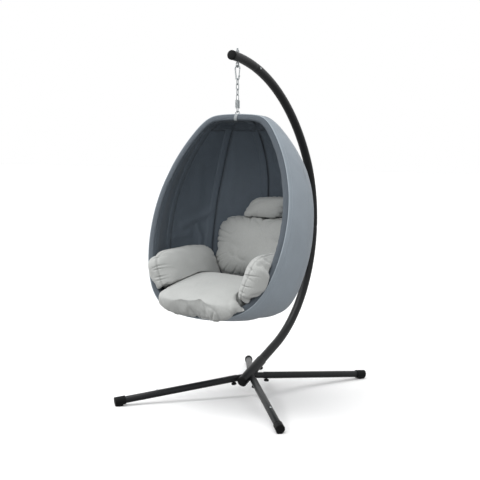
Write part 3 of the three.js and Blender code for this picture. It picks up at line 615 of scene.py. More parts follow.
def weld_bead(heading, sleeve_at, sleeve_along):
    """A rippled bead where a stub meets the hub sleeve."""
    along, up = leg_frame(heading)
    side = along.cross(up)
    path = []
    steps = 72
    for k in range(steps):
        angle = 2 * math.pi * k / steps
        edge = HUB + (up * math.cos(angle) + side * math.sin(angle)) * STUB_RADIUS
        low, high = 0.0, 0.12
        for _ in range(30):
            half = (low + high) / 2
            away = edge + along * half - sleeve_at
            inside = (away - sleeve_along * away.dot(sleeve_along)).length < SLEEVE_RADIUS
            low, high = (half, high) if inside else (low, half)
        path.append(edge + along * (low + 0.0008))
    points, faces = tube(path, 0.0030, 10, closed=True)
    for i, start in enumerate(path):
        swell = 1 + 0.16 * math.sin(i * 2 * math.pi / 4.5)
        for k in range(10):
            points[i * 10 + k] = start + (points[i * 10 + k] - start) * swell
    return points, faces


def build_hub():
    at, along, _ = post_at(0)
    first, last = SLEEVE_ENDS
    inner = POST_RADIUS + 0.0006
    sleeve = [(inner, first), (SLEEVE_RADIUS, first), (SLEEVE_RADIUS, last), (inner, last), (inner, first)]
    parts = [lathe(rounded(sleeve, 0.0012, 3), at, along, 56)]
    for heading in LEG_HEADINGS.values():
        out = leg_frame(heading)[0]
        stub = [(0, 0.020), (STUB_RADIUS, 0.020), (STUB_RADIUS, 0.198), (0, 0.198)]
        parts.append(lathe(rounded(stub, 0.001, 2), HUB, out, 40))
        parts.append(weld_bead(heading, at, along))
    stand_in("hub_frame", merge(*parts), "stand", BLACK_STEEL, 40)
    point, _, outward = post_at(POST_KNOB_AT)
    stand_in("post_knob", knob(point, outward, SLEEVE_RADIUS), "knob_post", BLACK_PLASTIC)


def knob(at, outward, tube_radius):
    """A fluted thumb knob on its collar and threaded shank."""
    seat = tube_radius + 0.001
    outline = [
        (0, seat - 0.022), (0.0038, seat - 0.022), (0.0038, seat), (0.007, seat), (0.007, seat + 0.003),
        (0.0128, seat + 0.003), (0.0150, seat + 0.006), (0.0150, seat + 0.0125), (0.0118, seat + 0.0155),
        (0.006, seat + 0.0150), (0, seat + 0.0145),
    ]
    return lathe(rounded(outline, 0.0014, 3), at, outward, 72, 9, 0.0016, seat + 0.0031)


def foot_block(heading, out):
    """The flat foot under a leg cap, drawn up into the cap's barrel."""
    tip = CAP_END - 0.024
    spot = HUB + out * tip
    turn = math.radians(heading)
    ahead = Vector((math.cos(turn), math.sin(turn), 0))
    side = Vector((-ahead.y, ahead.x, 0))
    rings = ((0.0, 0.0185, 0.0118), (0.0012, 0.0215, 0.0148), (0.010, 0.0218, 0.0150),
             (spot.z, 0.0200, 0.0140))
    sides = 40
    points = []
    for height, half_long, half_wide in rings:
        for k in range(sides):
            angle = 2 * math.pi * k / sides
            c, s = math.cos(angle), math.sin(angle)
            size = (abs(c) ** 5 + abs(s) ** 5) ** 0.2
            offset = ahead * (half_long * c / size) + side * (half_wide * s / size)
            points.append(Vector((spot.x, spot.y, height)) + offset)
    faces = grid_faces(len(rings), sides, wrap_columns=True)
    faces.append(tuple(range(sides - 1, -1, -1)))
    return points, faces


def build_legs():
    for name, heading in LEG_HEADINGS.items():
        out, up = leg_frame(heading)
        inner = LEG_RADIUS - 0.0018
        leg = [
            (inner, LEG_START + 0.02), (inner, LEG_START), (LEG_RADIUS, LEG_START), (LEG_RADIUS, LEG_REACH),
            (0, LEG_REACH),
        ]
        stand_in(f"leg_{name}", lathe(rounded(leg, 0.0008, 2), HUB, out, 44), "stand", BLACK_STEEL)
        near, far = CAP_END - CAP_LENGTH, CAP_END
        cap = [
            (LEG_RADIUS + 0.0002, near), (CAP_RADIUS, near), (CAP_RADIUS, near + 0.010),
            (CAP_RADIUS - 0.0008, near + 0.0108), (CAP_RADIUS - 0.0008, near + 0.0125),
            (CAP_RADIUS, near + 0.0133), (CAP_RADIUS, far), (0.010, far), (0.009, far - 0.0008),
            (0, far - 0.0008),
        ]
        shape = merge(lathe(rounded(cap, 0.0022, 3), HUB, out, 48), foot_block(heading, out))
        stand_in(f"foot_cap_{name}", shape, "stand", BLACK_PLASTIC)
        at = HUB + out * LEG_KNOB_AT
        stand_in(f"leg_knob_{name}", knob(at, -up, LEG_RADIUS), f"knob_{name}", BLACK_PLASTIC)
        if name.startswith("front"):
            seat = HUB + out * LEG_SCREW_AT + up * LEG_RADIUS
            stand_in(f"leg_screw_{name}", screw_head(seat, up), "stand", ZINC)


# ---------------------------------------------------------------- hanging hardware
AXIS = Vector((0, HANG_Y, 0))


def upright(loop, z, facing):
    """Places a flat (across, up) path about the hanging axis, across +X or across +Y."""
    across = Vector((1, 0, 0)) if facing == "x" else Vector((0, 1, 0))
    return [AXIS + across * a + Vector((0, 0, z + b)) for a, b in loop]


def circle(radius, count, start=0.0, end=360.0):
    """Flat (across, up) points along an arc; a full circle leaves out its last point."""
    whole = abs(end - start) >= 360
    turns = [math.radians(start + (end - start) * k / count) for k in range(count if whole else count + 1)]
    return [(radius * math.cos(t), radius * math.sin(t)) for t in turns]


def build_eye_bolt():
    low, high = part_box("eye_bolt")
    ring_z = low.z + WIRE + EYE_RING
    ring = tube(upright(circle(EYE_RING, 56), ring_z, "y"), WIRE, 18, closed=True)
    start = ring_z + 0.055
    outline = [(0, ring_z + EYE_RING - 0.001), (0.005, ring_z + EYE_RING), (0.005, start)]
    outline += thread(start, high.z - 0.001, 0.0015, 0.0050, 0.0044)
    outline += [(0.0042, high.z), (0, high.z)]
    shank = lathe(outline, AXIS, (0, 0, 1), 32)
    stand_in("eye_bolt", merge(ring, shank), "stand", ZINC, 60)
    keep_node("eye_washer", ZINC, 0.0005)
    keep_node("eye_nut", ZINC, 0.0008)


def build_snap_hook():
    low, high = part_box("snap_hook_body")
    top_radius, low_radius = 0.014, 0.0085
    top_z, low_z = high.z - WIRE - top_radius, low.z + WIRE + low_radius
    taper = math.degrees(math.asin((top_radius - low_radius) / (top_z - low_z)))
    lean = math.radians(taper)
    low_end = Vector((low_radius * math.cos(lean), low_z - low_radius * math.sin(lean)))
    high_end = Vector((top_radius * math.cos(lean), top_z - top_radius * math.sin(lean)))

    def flank(share):
        return low_end.lerp(high_end, share)

    nose, pivot = flank(0.92), flank(0.22)
    path = [tuple(nose)]
    path += [(x, top_z + z) for x, z in circle(top_radius, 20, -taper + 8, 180 + taper)]
    path += [(x, low_z + z) for x, z in circle(low_radius, 16, 180 + taper, 360 - taper)]
    path += [tuple(flank(0.10)), tuple(flank(0.16))]
    hook = tube(curve_through(upright(path, 0, "x"), 3), WIRE, 18)
    cheeks = []
    for sign in (-1, 1):
        at = AXIS + Vector((pivot.x, sign * 0.0033, pivot.y))
        plate = [(0, 0), (0.0046, 0), (0.0046, sign * 0.0014), (0, sign * 0.0014)]
        cheeks.append(lathe(rounded(plate, 0.0004, 2), at, (0, 1, 0), 28))
    stand_in("snap_hook_body", merge(hook, *cheeks), "snap_hook", ZINC)
    gate_path = upright([tuple(flank(0.22)), tuple(flank(0.55)), tuple(flank(0.885))], 0, "x")
    knuckle = [(0, -0.0027), (0.0037, -0.0027), (0.0037, 0.0027), (0, 0.0027)]
    at = AXIS + Vector((pivot.x, 0, pivot.y))
    eye = lathe(rounded(knuckle, 0.0005, 2), at, (0, 1, 0), 28)
    gate = merge(tube(curve_through(gate_path), 0.0030, 16), eye)
    stand_in("snap_hook_gate", gate, "hook_gate", ZINC)
    keep_node("snap_hook_pin", ZINC, 0.0003)


def build_chain():
    for index in (1, 2, 3):
        low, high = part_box(f"chain_link_{index}")
        facing = "x" if high.x - low.x > high.y - low.y else "y"
        width = (high.x - low.x if facing == "x" else high.y - low.y) / 2 - LINK_WIRE
        straight = (high.z - low.z) / 2 - LINK_WIRE - width
        loop = [(x, z + straight) for x, z in circle(width, 14, 0, 180)]
        loop += [(x, z - straight) for x, z in circle(width, 14, 180, 359.9)]
        path = curve_through(upright(loop, (low.z + high.z) / 2, facing), 2, closed=True)
        stand_in(f"chain_link_{index}", tube(path, LINK_WIRE, 14, closed=True), "chain", ZINC)


def draw_bar(arch_z, foot_z, facing):
    """A U of wire with its arch at one end and its two feet turned outwards at the other."""
    bend, foot, foot_bend = 0.0068, 0.014, 0.0032
    up = 1 if arch_z > foot_z else -1
    half = [
        (foot, foot_z), (bend + foot_bend, foot_z), (bend + foot_bend * 0.3, foot_z + up * foot_bend * 0.3),
        (bend, foot_z + up * foot_bend), (bend, foot_z + up * 0.010), (bend, arch_z - up * (bend + 0.004)),
    ]
    arch = [(x, arch_z - up * bend + up * z) for x, z in circle(bend, 10, 180, 0)]
    loop = [(-x, z) for x, z in half] + arch + half[::-1]
    return tube(curve_through(upright(loop, 0, facing), 3), BAR_WIRE, 14)


def build_spring():
    low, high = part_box("spring_upper_bar")
    stand_in("spring_upper_bar", draw_bar(high.z - BAR_WIRE, low.z + BAR_WIRE, "x"), "chain", ZINC)
    low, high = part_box("spring_lower_bar")
    stand_in("spring_lower_bar", draw_bar(low.z + BAR_WIRE, high.z - BAR_WIRE, "y"), "lower_bar", ZINC)
    low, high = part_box("spring_coil")
    bottom, top = low.z + COIL_WIRE, high.z - COIL_WIRE
    path = []
    steps = COIL_TURNS * 28
    for k in range(steps + 1):
        turn = 2 * math.pi * COIL_TURNS * k / steps
        z = bottom + (top - bottom) * k / steps
        path.append(AXIS + Vector((COIL_RADIUS * math.cos(turn), COIL_RADIUS * math.sin(turn), z)))
    coil = piece("spring_coil_look", tube(path, COIL_WIRE, 12), None, ZINC)
    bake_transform(coil)
    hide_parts("spring_coil")


def build_hanger_loop():
    low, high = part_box("hanger_loop")
    half = (high.x - low.x) / 2 - HANGER_WIRE
    top, bend = high.z - HANGER_WIRE, 0.006
    right = [(half, low.z), (half, top - bend), (half - bend * 0.3, top - bend * 0.3), (half - bend, top)]
    loop = [(-x, z) for x, z in right] + right[::-1]
    wire = tube(curve_through(upright(loop, 0, "x"), 5), HANGER_WIRE, 16)
    stand_in("hanger_loop", wire, "basket", ZINC)


# ---------------------------------------------------------------- basket surface
def smooth_profile():
    """The egg's outline from base to crown as dense (radius, height, centre) rows."""
    steps = 24
    rows = [(EGG_RADIUS * r, SHELL_LOW.z + EGG_HEIGHT * z, HANG_Y + c) for z, r, c in EGG_PROFILE]
    base = (-rows[1][0], rows[1][1], rows[1][2])
    crown = (-rows[-2][0], rows[-2][1], rows[-2][2])
    path = curve_through([base] + rows + [crown], steps)
    return np.array([tuple(p) for p in path[steps:-steps]])


PROFILE = smooth_profile()


class Egg:
    """The basket's surface moved in by a depth: level circles of radius r about (0, c)."""

    def __init__(self, depth):
        self.r, self.z, self.c = PROFILE.T.copy()
        rise_r, rise_z = np.gradient(self.r), np.gradient(self.z)
        size = np.hypot(rise_r, rise_z)
        self.r = self.r - depth * rise_z / size
        self.z = self.z + depth * rise_r / size
        keep = self.r >= 0
        self.r, self.z, self.c = self.r[keep], self.z[keep], self.c[keep]
        self.r[[0, -1]] = 0

    def outside(self, p):
        """Above zero outside the surface, below zero inside."""
        away = np.hypot(p[:, 0], p[:, 1] - np.interp(p[:, 2], self.z, self.c))
        over = np.maximum(self.z[0] - p[:, 2], p[:, 2] - self.z[-1])
        return np.maximum(away - np.interp(p[:, 2], self.z, self.r), over)

    def normals(self, p):
        step = 2e-4
        slopes = [self.gauge(p + step * axis) - self.gauge(p - step * axis) for axis in np.eye(3)]
        slopes = np.stack(slopes, axis=1)
        return slopes / np.linalg.norm(slopes, axis=1)[:, None]

    def gauge(self, p):
        """A smooth field that is one on the surface, for normals."""
        middle_z = (self.z[0] + self.z[-1]) / 2
        c = np.interp(p[:, 2], self.z, self.c)
        away = np.hypot(p[:, 0], p[:, 1] - c)
        turn = np.arctan2(p[:, 2] - middle_z, away)
        edge = np.arctan2(self.z - middle_z, self.r)
        return np.hypot(away, p[:, 2] - middle_z) / np.interp(turn, edge, np.hypot(self.r, self.z - middle_z))


def meet(start, directions, blocked, far):
    """Distance from start along each direction to where blocked() first turns true."""
    low, high = np.zeros(len(directions)), np.full(len(directions), far)
    for _ in range(30):
        half = (low + high) / 2
        stopped = blocked(start + directions * half[:, None])
        low, high = np.where(stopped, low, half), np.where(stopped, half, high)
    return low


FAR = 1.2                       # metres, further than any point of the basket from its middle
OUTER = Egg(0)
RIM_TILT = math.atan(RIM_SLOPE)
RIM_NORMAL = np.array([0, math.cos(RIM_TILT), -math.sin(RIM_TILT)])
RIM_UP = np.array([0, math.sin(RIM_TILT), math.cos(RIM_TILT)])
RIM_MIDDLE = np.array([0, RIM_POINT.y + RIM_SLOPE * (RIM_MIDDLE_Z - RIM_POINT.z), RIM_MIDDLE_Z])


def behind_rim(p):
    return (p - RIM_MIDDLE) @ RIM_NORMAL


def back_angle(p):
    """Angle about the egg's own centre in degrees, from straight back towards the left (-X)."""
    return np.degrees(np.arctan2(-p[:, 0], p[:, 1] - np.interp(p[:, 2], OUTER.z, OUTER.c)))


def about_rim(phi):
    """Unit vectors in the opening's plane at each angle."""
    return np.outer(np.cos(phi), [1, 0, 0]) + np.outer(np.sin(phi), RIM_UP)


def bowl(egg, reach):
    """The egg behind the rim as a net of rings about the rim's axis, with the pole at the back."""
    rounds, rings = 320, 96
    phi = np.linspace(0, 2 * math.pi, rounds, endpoint=False)
    lean = np.radians(np.linspace(0.35, reach, rings))[:, None, None]
    directions = (np.cos(lean) * RIM_NORMAL + np.sin(lean) * about_rim(phi)).reshape(-1, 3)
    reach_out = meet(RIM_MIDDLE, directions, lambda p: egg.outside(p) > 0, FAR)
    points = RIM_MIDDLE + directions * reach_out[:, None]
    faces = grid_faces(rings, rounds, wrap_columns=True)
    faces.append(tuple(range(rounds)))
    return points, faces


def hump(distance, width):
    return np.exp(-((distance / width) ** 2))


def ease(value, low, high):
    share = np.clip((value - low) / (high - low), 0, 1)
    return share * share * (3 - 2 * share)


def ripple(places, scale, seed=0.0):
    """Smooth noise between -1 and 1 at each place."""
    shift = Vector((seed, seed * 0.37, seed * 0.71))
    return np.array([noise.noise(Vector(p) * scale + shift) for p in places])


def panel_share(angle):
    """Where a point sits between two seams, from 0 to 1; the front panels end past the rim."""
    edges = np.array([-125, *SEAM_ANGLES, 125], float)
    index = np.clip(np.searchsorted(edges, angle) - 1, 0, len(edges) - 2)
    return np.clip((angle - edges[index]) / (edges[index + 1] - edges[index]), 0, 1)


def seam_distance(p, angle):
    """Metres along the surface to the nearest upright seam."""
    radius = np.hypot(p[:, 0], p[:, 1] - np.interp(p[:, 2], OUTER.z, OUTER.c))
    gaps = np.abs(angle[:, None] - np.array(SEAM_ANGLES, float))
    return np.radians(gaps.min(axis=1)) * radius, radius


def meridian_strip(egg, degrees, half, lift, ends, columns=7):
    """A crowned tape along one upright seam; ends are the radii where it stops at base and crown."""
    widest = int(np.argmax(egg.r))
    keep = [i for i in range(len(egg.r)) if egg.r[i] > (ends[0] if i < widest else ends[1])]
    across = np.linspace(-1, 1, columns)
    points, off, along = [], [], []
    travelled, before = 0.0, None
    for i in keep:
        spot = np.array([egg.r[i], egg.z[i]])
        travelled += 0.0 if before is None else float(np.linalg.norm(spot - before))
        before = spot
        for share in across:
            turn = math.radians(degrees) + share * half / egg.r[i]
            raise_by = lift * (1 - abs(share) ** 4)
            r = egg.r[i] + raise_by
            points.append((-r * math.sin(turn), egg.c[i] + r * math.cos(turn), egg.z[i]))
            off.append(abs(share) * half)
            along.append(travelled)
    return (points, grid_faces(len(keep), columns)), np.array(off), np.array(along)


def end_patch(egg, at_crown, radius, lift):
    """A round cloth patch over the crown or the base."""
    widest = int(np.argmax(egg.r))
    rows = [i for i in range(len(egg.r)) if egg.r[i] <= radius and (i > widest) == at_crown]
    rows = rows[::-1] if at_crown else rows
    sides = 64
    points = []
    for i in rows:
        height = egg.z[i] + (lift if at_crown else -lift)
        for k in range(sides):
            turn = 2 * math.pi * k / sides
            points.append((egg.r[i] * math.cos(turn), egg.c[i] + egg.r[i] * math.sin(turn), height))
    off = np.repeat([radius - egg.r[i] - 0.004 for i in rows], sides)
    along = np.tile(np.linspace(0, 2 * math.pi * radius, sides), len(rows))
    return (points, grid_faces(len(rows), sides, wrap_columns=True)), off, along


def thicken(made):
    solid = made.modifiers.new("cloth_thickness", "SOLIDIFY")
    solid.thickness = CLOTH_THICKNESS
    solid.offset = 0


def build_shell():
    points, faces = bowl(OUTER, 88.9)
    angle = back_angle(points)
    distance, radius = seam_distance(points, angle)
    away = behind_rim(points)
    pull = SHELL_SAG * np.sin(math.pi * panel_share(angle)) ** 2
    pull *= ease(radius, 0.05, 0.25) * ease(away, 0.02, 0.14)
    pull += 0.0016 * hump(distance, 0.010) * ease(radius, 0.03, 0.10)
    drawn = np.stack([angle * radius * 0.35, points[:, 2] * 3, away * 2], axis=1)
    pull += 0.0014 * ripple(drawn, 1.1, 5.0) * ease(away, 0.01, 0.05)
    pull += 0.0020 * ripple(points, 6.0, 9.0)
    points = points - OUTER.normals(points) * pull[:, None]
    # painted shade along each upright seam of the shell
    marks = {"painted_shade": hump(distance, 0.004) * ease(radius, 0.03, 0.08)}
    shell = piece("basket_shell_cover", (points, faces), "basket", SHELL_FABRIC, ["basket_shell"], 60, marks)
    thicken(shell)
    build_shell_seams()


def build_shell_seams():
    skin = Egg(0.0012)
    for number, degrees in enumerate(SEAM_ANGLES, 1):
        shape, off, along = meridian_strip(skin, degrees, SEAM_HALF, 0.0022, SEAM_ENDS)
        # painted shade along both edges of each seam tape
        marks = {"stitch": 1 + np.abs(off - 0.6 * SEAM_HALF), "along": along,
                 "painted_shade": ease(off, 0.0058, 0.0072)}
        piece(f"shell_seam_{number}", shape, "basket", SHELL_FABRIC, (), 60, marks)
    for name, at_crown, radius in (("crown_patch", True, CROWN_PATCH), ("base_patch", False, BASE_PATCH)):
        shape, off, along = end_patch(skin, at_crown, radius, 0.0026)
        marks = {"stitch": 1 + np.abs(off), "along": along}
        piece(name, shape, "basket", SHELL_FABRIC, (), 60, marks)


# Folds in the lining as (angle from the back, height) paths, with how far they stand in and how wide they are
LINING_FOLDS = (
    (((75, 0.958), (62, 0.990), (52, 1.016), (47, 1.040)), 0.007, 0.022),
    (((60, 0.955), (55, 0.880), (56, 0.800)), 0.006, 0.012),
    (((50, 1.020), (49, 0.930), (50, 0.820)), 0.007, 0.010),
    (((90, 0.860), (80, 0.900), (68, 0.905)), 0.005, 0.018),
    (((36, 1.440), (33, 1.250), (34, 1.100)), 0.004, 0.020),
    (((-8, 1.480), (-14, 1.400), (-12, 1.300)), 0.006, 0.012),
    (((-20, 1.520), (-32, 1.480), (-45, 1.380)), 0.008, 0.014),
    (((20, 1.530), (10, 1.500), (-6, 1.500)), 0.006, 0.012),
    (((-78, 0.950), (-60, 0.990), (-50, 1.030)), 0.007, 0.022),
    (((-57, 0.950), (-54, 0.870), (-56, 0.790)), 0.006, 0.012),
    (((70, 1.300), (63, 1.180), (60, 1.080)), 0.003, 0.028),
)


def fold_height(angle, z, radius):
    """How far the listed folds stand in from the lining at each point."""
    total = np.zeros(len(angle))
    for path, height, width in LINING_FOLDS:
        nearest = np.full(len(angle), 9.0)
        for (a0, z0), (a1, z1) in zip(path, path[1:]):
            side, up = np.radians(angle - a0) * radius, z - z0
            end_side, end_up = np.radians(a1 - a0) * radius, z1 - z0
            share = np.clip((side * end_side + up * end_up) / (end_side ** 2 + end_up ** 2 + 1e-9), 0, 1)
            nearest = np.minimum(nearest, np.hypot(side - share * end_side, up - share * end_up))
        total = np.maximum(total, height * hump(nearest, width))
    return total


def build_lining():
    inner = Egg(LINING_DEPTH)
    points, faces = bowl(inner, 88.6)
    angle = back_angle(points) - LINING_TWIST
    _, radius = seam_distance(points, angle)
    away, z = behind_rim(points), points[:, 2]
    tuck = tuck_distance(angle, radius)
    inside = ease(radius, 0.08, 0.16)
    lift = LINING_SAG * np.sin(math.pi * panel_share(angle)) ** 2 * ease(radius, 0.08, 0.30)
    lift += fold_height(angle + LINING_TWIST, z, radius)
    drawn = np.stack([angle * radius * 0.30, z * 2.5, away * 2], axis=1)
    lift += 0.0024 * ripple(drawn, 1.0, 15.0) + 0.0030 * ripple(points, 5.0, 21.0)
    lift += 0.0060 * ripple(points, 14.0, 33.0) * ease(z, 1.42, 1.54)
    lift += 0.0120 * hump(z - CEILING_SEAM_Z - 0.016, 0.015)
    lift -= TUCK_DEPTH * hump(tuck, 0.007) * inside + CEILING_TUCK * hump(z - CEILING_SEAM_Z, 0.006)
    lift = np.maximum(lift, -TUCK_DEPTH) * ease(away, 0.008, 0.05)
    points = points - inner.normals(points) * lift[:, None]
    # painted shade: dark lines beside the rib tunnels' tucks and at the ceiling seam, and the whole ceiling
    # above that seam darkened
    shade = np.maximum(hump(tuck, 0.009) * inside, 0.9 * hump(z - CEILING_SEAM_Z, 0.006))
    shade = np.maximum(shade, 0.5 * ease(z, CEILING_SEAM_Z, CEILING_SEAM_Z + 0.02))
    lining = piece("basket_lining_cover", (points, faces), "basket", LINING_FABRIC, ["basket_lining"], 60,
                   {"painted_shade": shade * 1.6})
    thicken(lining)
    face = Egg(LINING_DEPTH + 0.001)
    for number, degrees in enumerate(SEAM_ANGLES, 1):
        shape, off, along = meridian_strip(face, degrees + LINING_TWIST, TUNNEL_HALF, -0.006, TUNNEL_ENDS, 13)
        # painted shade along both edges of each rib tunnel
        marks = {"stitch": 1 + np.abs(off - TUNNEL_HALF + 0.004), "along": along,
                 "painted_shade": ease(off, TUNNEL_HALF - 0.002, TUNNEL_HALF)}
        piece(f"rib_tunnel_{number}", shape, "basket", LINING_FABRIC, (), 60, marks)


def tuck_distance(angle, radius):
    """Metres to the nearest tuck, the fold where the lining turns in along one edge of a rib tunnel."""
    tucks = np.array(SEAM_ANGLES, float)
    gaps = np.radians(angle[:, None] - tucks) * radius[:, None] + TUNNEL_HALF + 0.002
    return np.abs(gaps).min(axis=1)


# The hem's section as (behind the rim, depth under the outer face), from outside round to inside
HEM_SECTION = (
    (HEM_BACK, -0.0008), (HEM_BACK - 0.0015, -0.0018), (0.0160, -0.0026), (0.0070, -0.0024), (0.0020, 0.0000),
    (-0.0022, 0.0050), (-0.0042, 0.0110), (-0.0042, 0.0175), (-0.0026, 0.0235), (0.0010, 0.0280),
    (0.0065, 0.0308), (0.0140, 0.0318), (HEM_BACK - 0.0055, 0.0322), (HEM_BACK - 0.0040, 0.0310),
)
PIPING_AT = (0.0040, -0.0016)
PIPING_RADIUS = 0.0026
TAB_HALF = 0.015                # half the hanger tab's width, as an angle round the rim
HEM_PATH = np.array([tuple(p)[:2] for p in curve_through([(b, d, 0) for b, d in HEM_SECTION], 6)])
HEM_RUN = np.concatenate([[0], np.cumsum(np.linalg.norm(np.diff(HEM_PATH, axis=0), axis=1))])


def rim_strip(phi, start, end, rows, lift, wrinkle):
    """A band wrapped over the rim from one distance along the hem's section to another, row by row."""
    ahead = np.gradient(HEM_PATH, axis=0)
    ahead /= np.linalg.norm(ahead, axis=1)[:, None]
    made = []
    runs = np.linspace(start, end, rows)
    for run in runs:
        behind, depth = (np.interp(run, HEM_RUN, column) for column in HEM_PATH.T)
        step_b, step_d = (np.interp(run, HEM_RUN, column) for column in ahead.T)
        spots = np.stack([6 * np.cos(phi), 6 * np.sin(phi), np.full(len(phi), run * 40)], axis=1)
        rise = lift + wrinkle * ripple(spots, 3.2)
        made.append(on_rim(phi, behind - step_d * rise, depth + step_b * rise))
    return np.concatenate(made), np.repeat(runs, len(phi))


def on_rim(phi, behind, depth):
    """Points round the rim: each behind the opening's plane and under the outer face by its own amount."""
    flat = about_rim(phi)
    centre = RIM_MIDDLE + np.outer(behind, RIM_NORMAL)
    points = centre + flat * meet(centre, flat, lambda p: OUTER.outside(p) > 0, FAR)[:, None]
    normals = OUTER.normals(points)
    in_plane = normals - np.outer(normals @ RIM_NORMAL, RIM_NORMAL)
    return points - in_plane * (depth / (in_plane ** 2).sum(axis=1))[:, None]


def rim_piece(name, phi, start, end, rows, look, lift, wrinkle=0.0, stitch_at=None):
    """One band of the hem as a piece; a closed loop when phi goes right round."""
    points, runs = rim_strip(phi, start, end, rows, lift, wrinkle)
    first_row = points[:len(phi)]
    around = np.concatenate([[0], np.cumsum(np.linalg.norm(np.diff(first_row, axis=0), axis=1))])
    closed = phi[-1] - phi[0] > 6
    marks = {"along": np.tile(around, rows)}
    if stitch_at is not None:
        marks["stitch"] = 1 + np.abs(runs - stitch_at)
    piece(name, (points, grid_faces(rows, len(phi), wrap_columns=closed)), "basket", look, (), 70, marks)


def build_hem():
    """The rim's cover: outer fabric over the tube's front, lining fabric inside it, and a piping cord."""
    phi = np.linspace(0, 2 * math.pi, 400, endpoint=False)
    last = HEM_RUN[-1]
    rim_piece("rim_hem_outer", phi, 0.0, HEM_JOIN, 18, SHELL_FABRIC, 0.0006, 0.0009, 0.005)
    rim_piece("rim_hem_inner", phi, HEM_JOIN - 0.002, last, 34, HEM_FABRIC, 0.0, 0.0014, last - 0.005)
    cord = on_rim(phi, *[np.full(len(phi), v) for v in PIPING_AT])
    piece("rim_piping", tube(list(cord), PIPING_RADIUS, 12, closed=True), "basket", PIPING)
    keep_node("rim_hoop", FRAME_STEEL)
    tab = np.linspace(math.pi / 2 - TAB_HALF, math.pi / 2 + TAB_HALF, 9)
    rim_piece("hanger_tab", tab, 0.0, last, 40, WEBBING, 0.0022)


# ---------------------------------------------------------------- cushions
def turn_matrix(turns):
    x, y, z = [math.radians(t) for t in turns]
    about_x = np.array([[1, 0, 0], [0, math.cos(x), -math.sin(x)], [0, math.sin(x), math.cos(x)]])
    about_y = np.array([[math.cos(y), 0, math.sin(y)], [0, 1, 0], [-math.sin(y), 0, math.cos(y)]])
    about_z = np.array([[math.cos(z), -math.sin(z), 0], [math.sin(z), math.cos(z), 0], [0, 0, 1]])
    return about_z @ about_y @ about_x


class Cushion:
    """One cushion's place, and the space it may fill beside the basket and the cushions listed before it."""

    def __init__(self, name):
        self.name = name
        self.sizes = CUSHIONS[name]
        self.turn = turn_matrix(self.sizes["turns"])
        self.centre = np.array(self.sizes["centre"]) + np.array([0, HANG_Y, 0])
        self.half = np.array(self.sizes["half"])

    def local(self, p):
        made = (p - self.centre) @ self.turn
        made[:, 0] -= self.sizes["shear"] * made[:, 2]
        return made

    def gauge(self, p, grow=0.0):
        """One on the cushion's surface: a squared-off outline with a crowned section."""
        shares = np.abs(self.local(p) / (self.half + grow))
        crown = shares[:, self.sizes["thin"]]
        outline = np.delete(shares, self.sizes["thin"], axis=1)
        edge = (outline ** OUTLINE_SQUARENESS).sum(axis=1) ** (1 / OUTLINE_SQUARENESS)
        return (edge ** CROWN_ROUNDNESS + crown ** CROWN_ROUNDNESS) ** (1 / CROWN_ROUNDNESS)

    def blocked(self, inset, proud=0.0):
        """A test for points outside the cushion's space less an inset; proud lets its face stand out."""
        room = Egg(ROOM_DEPTH + inset)
        before = [Cushion(name) for name in CUSHION_ORDER[:CUSHION_ORDER.index(self.name)]]

        def test(p):
            stopped = self.gauge(p, proud - inset) > 1
            stopped |= (room.outside(p) > 0) & (behind_rim(p) > OVER_HEM - inset)
            for other in before:
                stopped |= other.gauge(p, CUSHION_GAP + inset) < 1
            return stopped
        return test

    def blank(self):
        """The cushion before it is filled, as a closed mesh a little smaller than its space."""
        ball = bmesh.new()
        bmesh.ops.create_icosphere(ball, subdivisions=6, radius=1.0)
        round_points = np.array([v.co for v in ball.verts])
        spread = round_points * self.half
        spread[:, 0] += self.sizes["shear"] * spread[:, 2]
        directions = spread @ self.turn.T
        reach = meet(self.centre, directions, self.blocked(BLANK_INSET), 1.8)
        for vertex, point in zip(ball.verts, self.centre + directions * reach[:, None]):
            vertex.co = point
        mesh = bpy.data.meshes.new(self.name + "_soft")
        ball.to_mesh(mesh)
        ball.free()
        made = bpy.data.objects.new(self.name + "_soft", mesh)
        bpy.context.scene.collection.objects.link(made)
        return made


def bake_modifiers(made):
    """Replaces an object's mesh by its modified shape and drops the modifiers."""
    graph = bpy.context.evaluated_depsgraph_get()
    mesh = bpy.data.meshes.new_from_object(made.evaluated_get(graph), depsgraph=graph)
    made.modifiers.clear()
    made.data = mesh


def vertex_array(mesh, what="co"):
    values = np.empty(len(mesh.vertices) * 3)
    mesh.vertices.foreach_get(what, values)
    return values.reshape(-1, 3)


def soften(made, iterations):
    smooth = made.modifiers.new("soften", "SMOOTH")
    smooth.factor = 0.5
    smooth.iterations = iterations


def remesh(made):
    voxels = made.modifiers.new("voxels", "REMESH")
    voxels.mode = "VOXEL"
    voxels.voxel_size = VOXEL
    soften(made, 10)
    bake_modifiers(made)


def add_cloth(made):
    cloth = made.modifiers.new("filling", "CLOTH")
    settings = cloth.settings
    settings.quality = 4
    settings.mass = 0.25
    settings.tension_stiffness = 12
    settings.compression_stiffness = 12
    settings.shear_stiffness = 4
    settings.bending_stiffness = 0.2
    settings.use_pressure = True
    settings.uniform_pressure_force = PRESSURE
    settings.shrink_min = -0.06
    settings.effector_weights.gravity = 0
    cloth.collision_settings.use_collision = False
    cloth.point_cache.frame_end = CLOTH_FRAMES


def fill(cushions, objects):
    """Fills every cushion by cloth pressure, limits each point's travel, and keeps it in its space."""
    starts = [vertex_array(made.data) for made in objects]
    for made in objects:
        add_cloth(made)
    for number in range(1, CLOTH_FRAMES + 1):
        bpy.context.scene.frame_set(number)
    for made in objects:
        bake_modifiers(made)
    bpy.context.scene.frame_set(1)
    for cushion, made, start in zip(cushions, objects, starts):
        points = vertex_array(made.data)
        move = points - start
        length = np.linalg.norm(move, axis=1)
        points = start + move * np.minimum(1, cushion.sizes["travel"] / np.maximum(length, 1e-9))[:, None]
        made.data.vertices.foreach_set("co", hold_in(cushion, start, points).ravel())
        made.data.update()


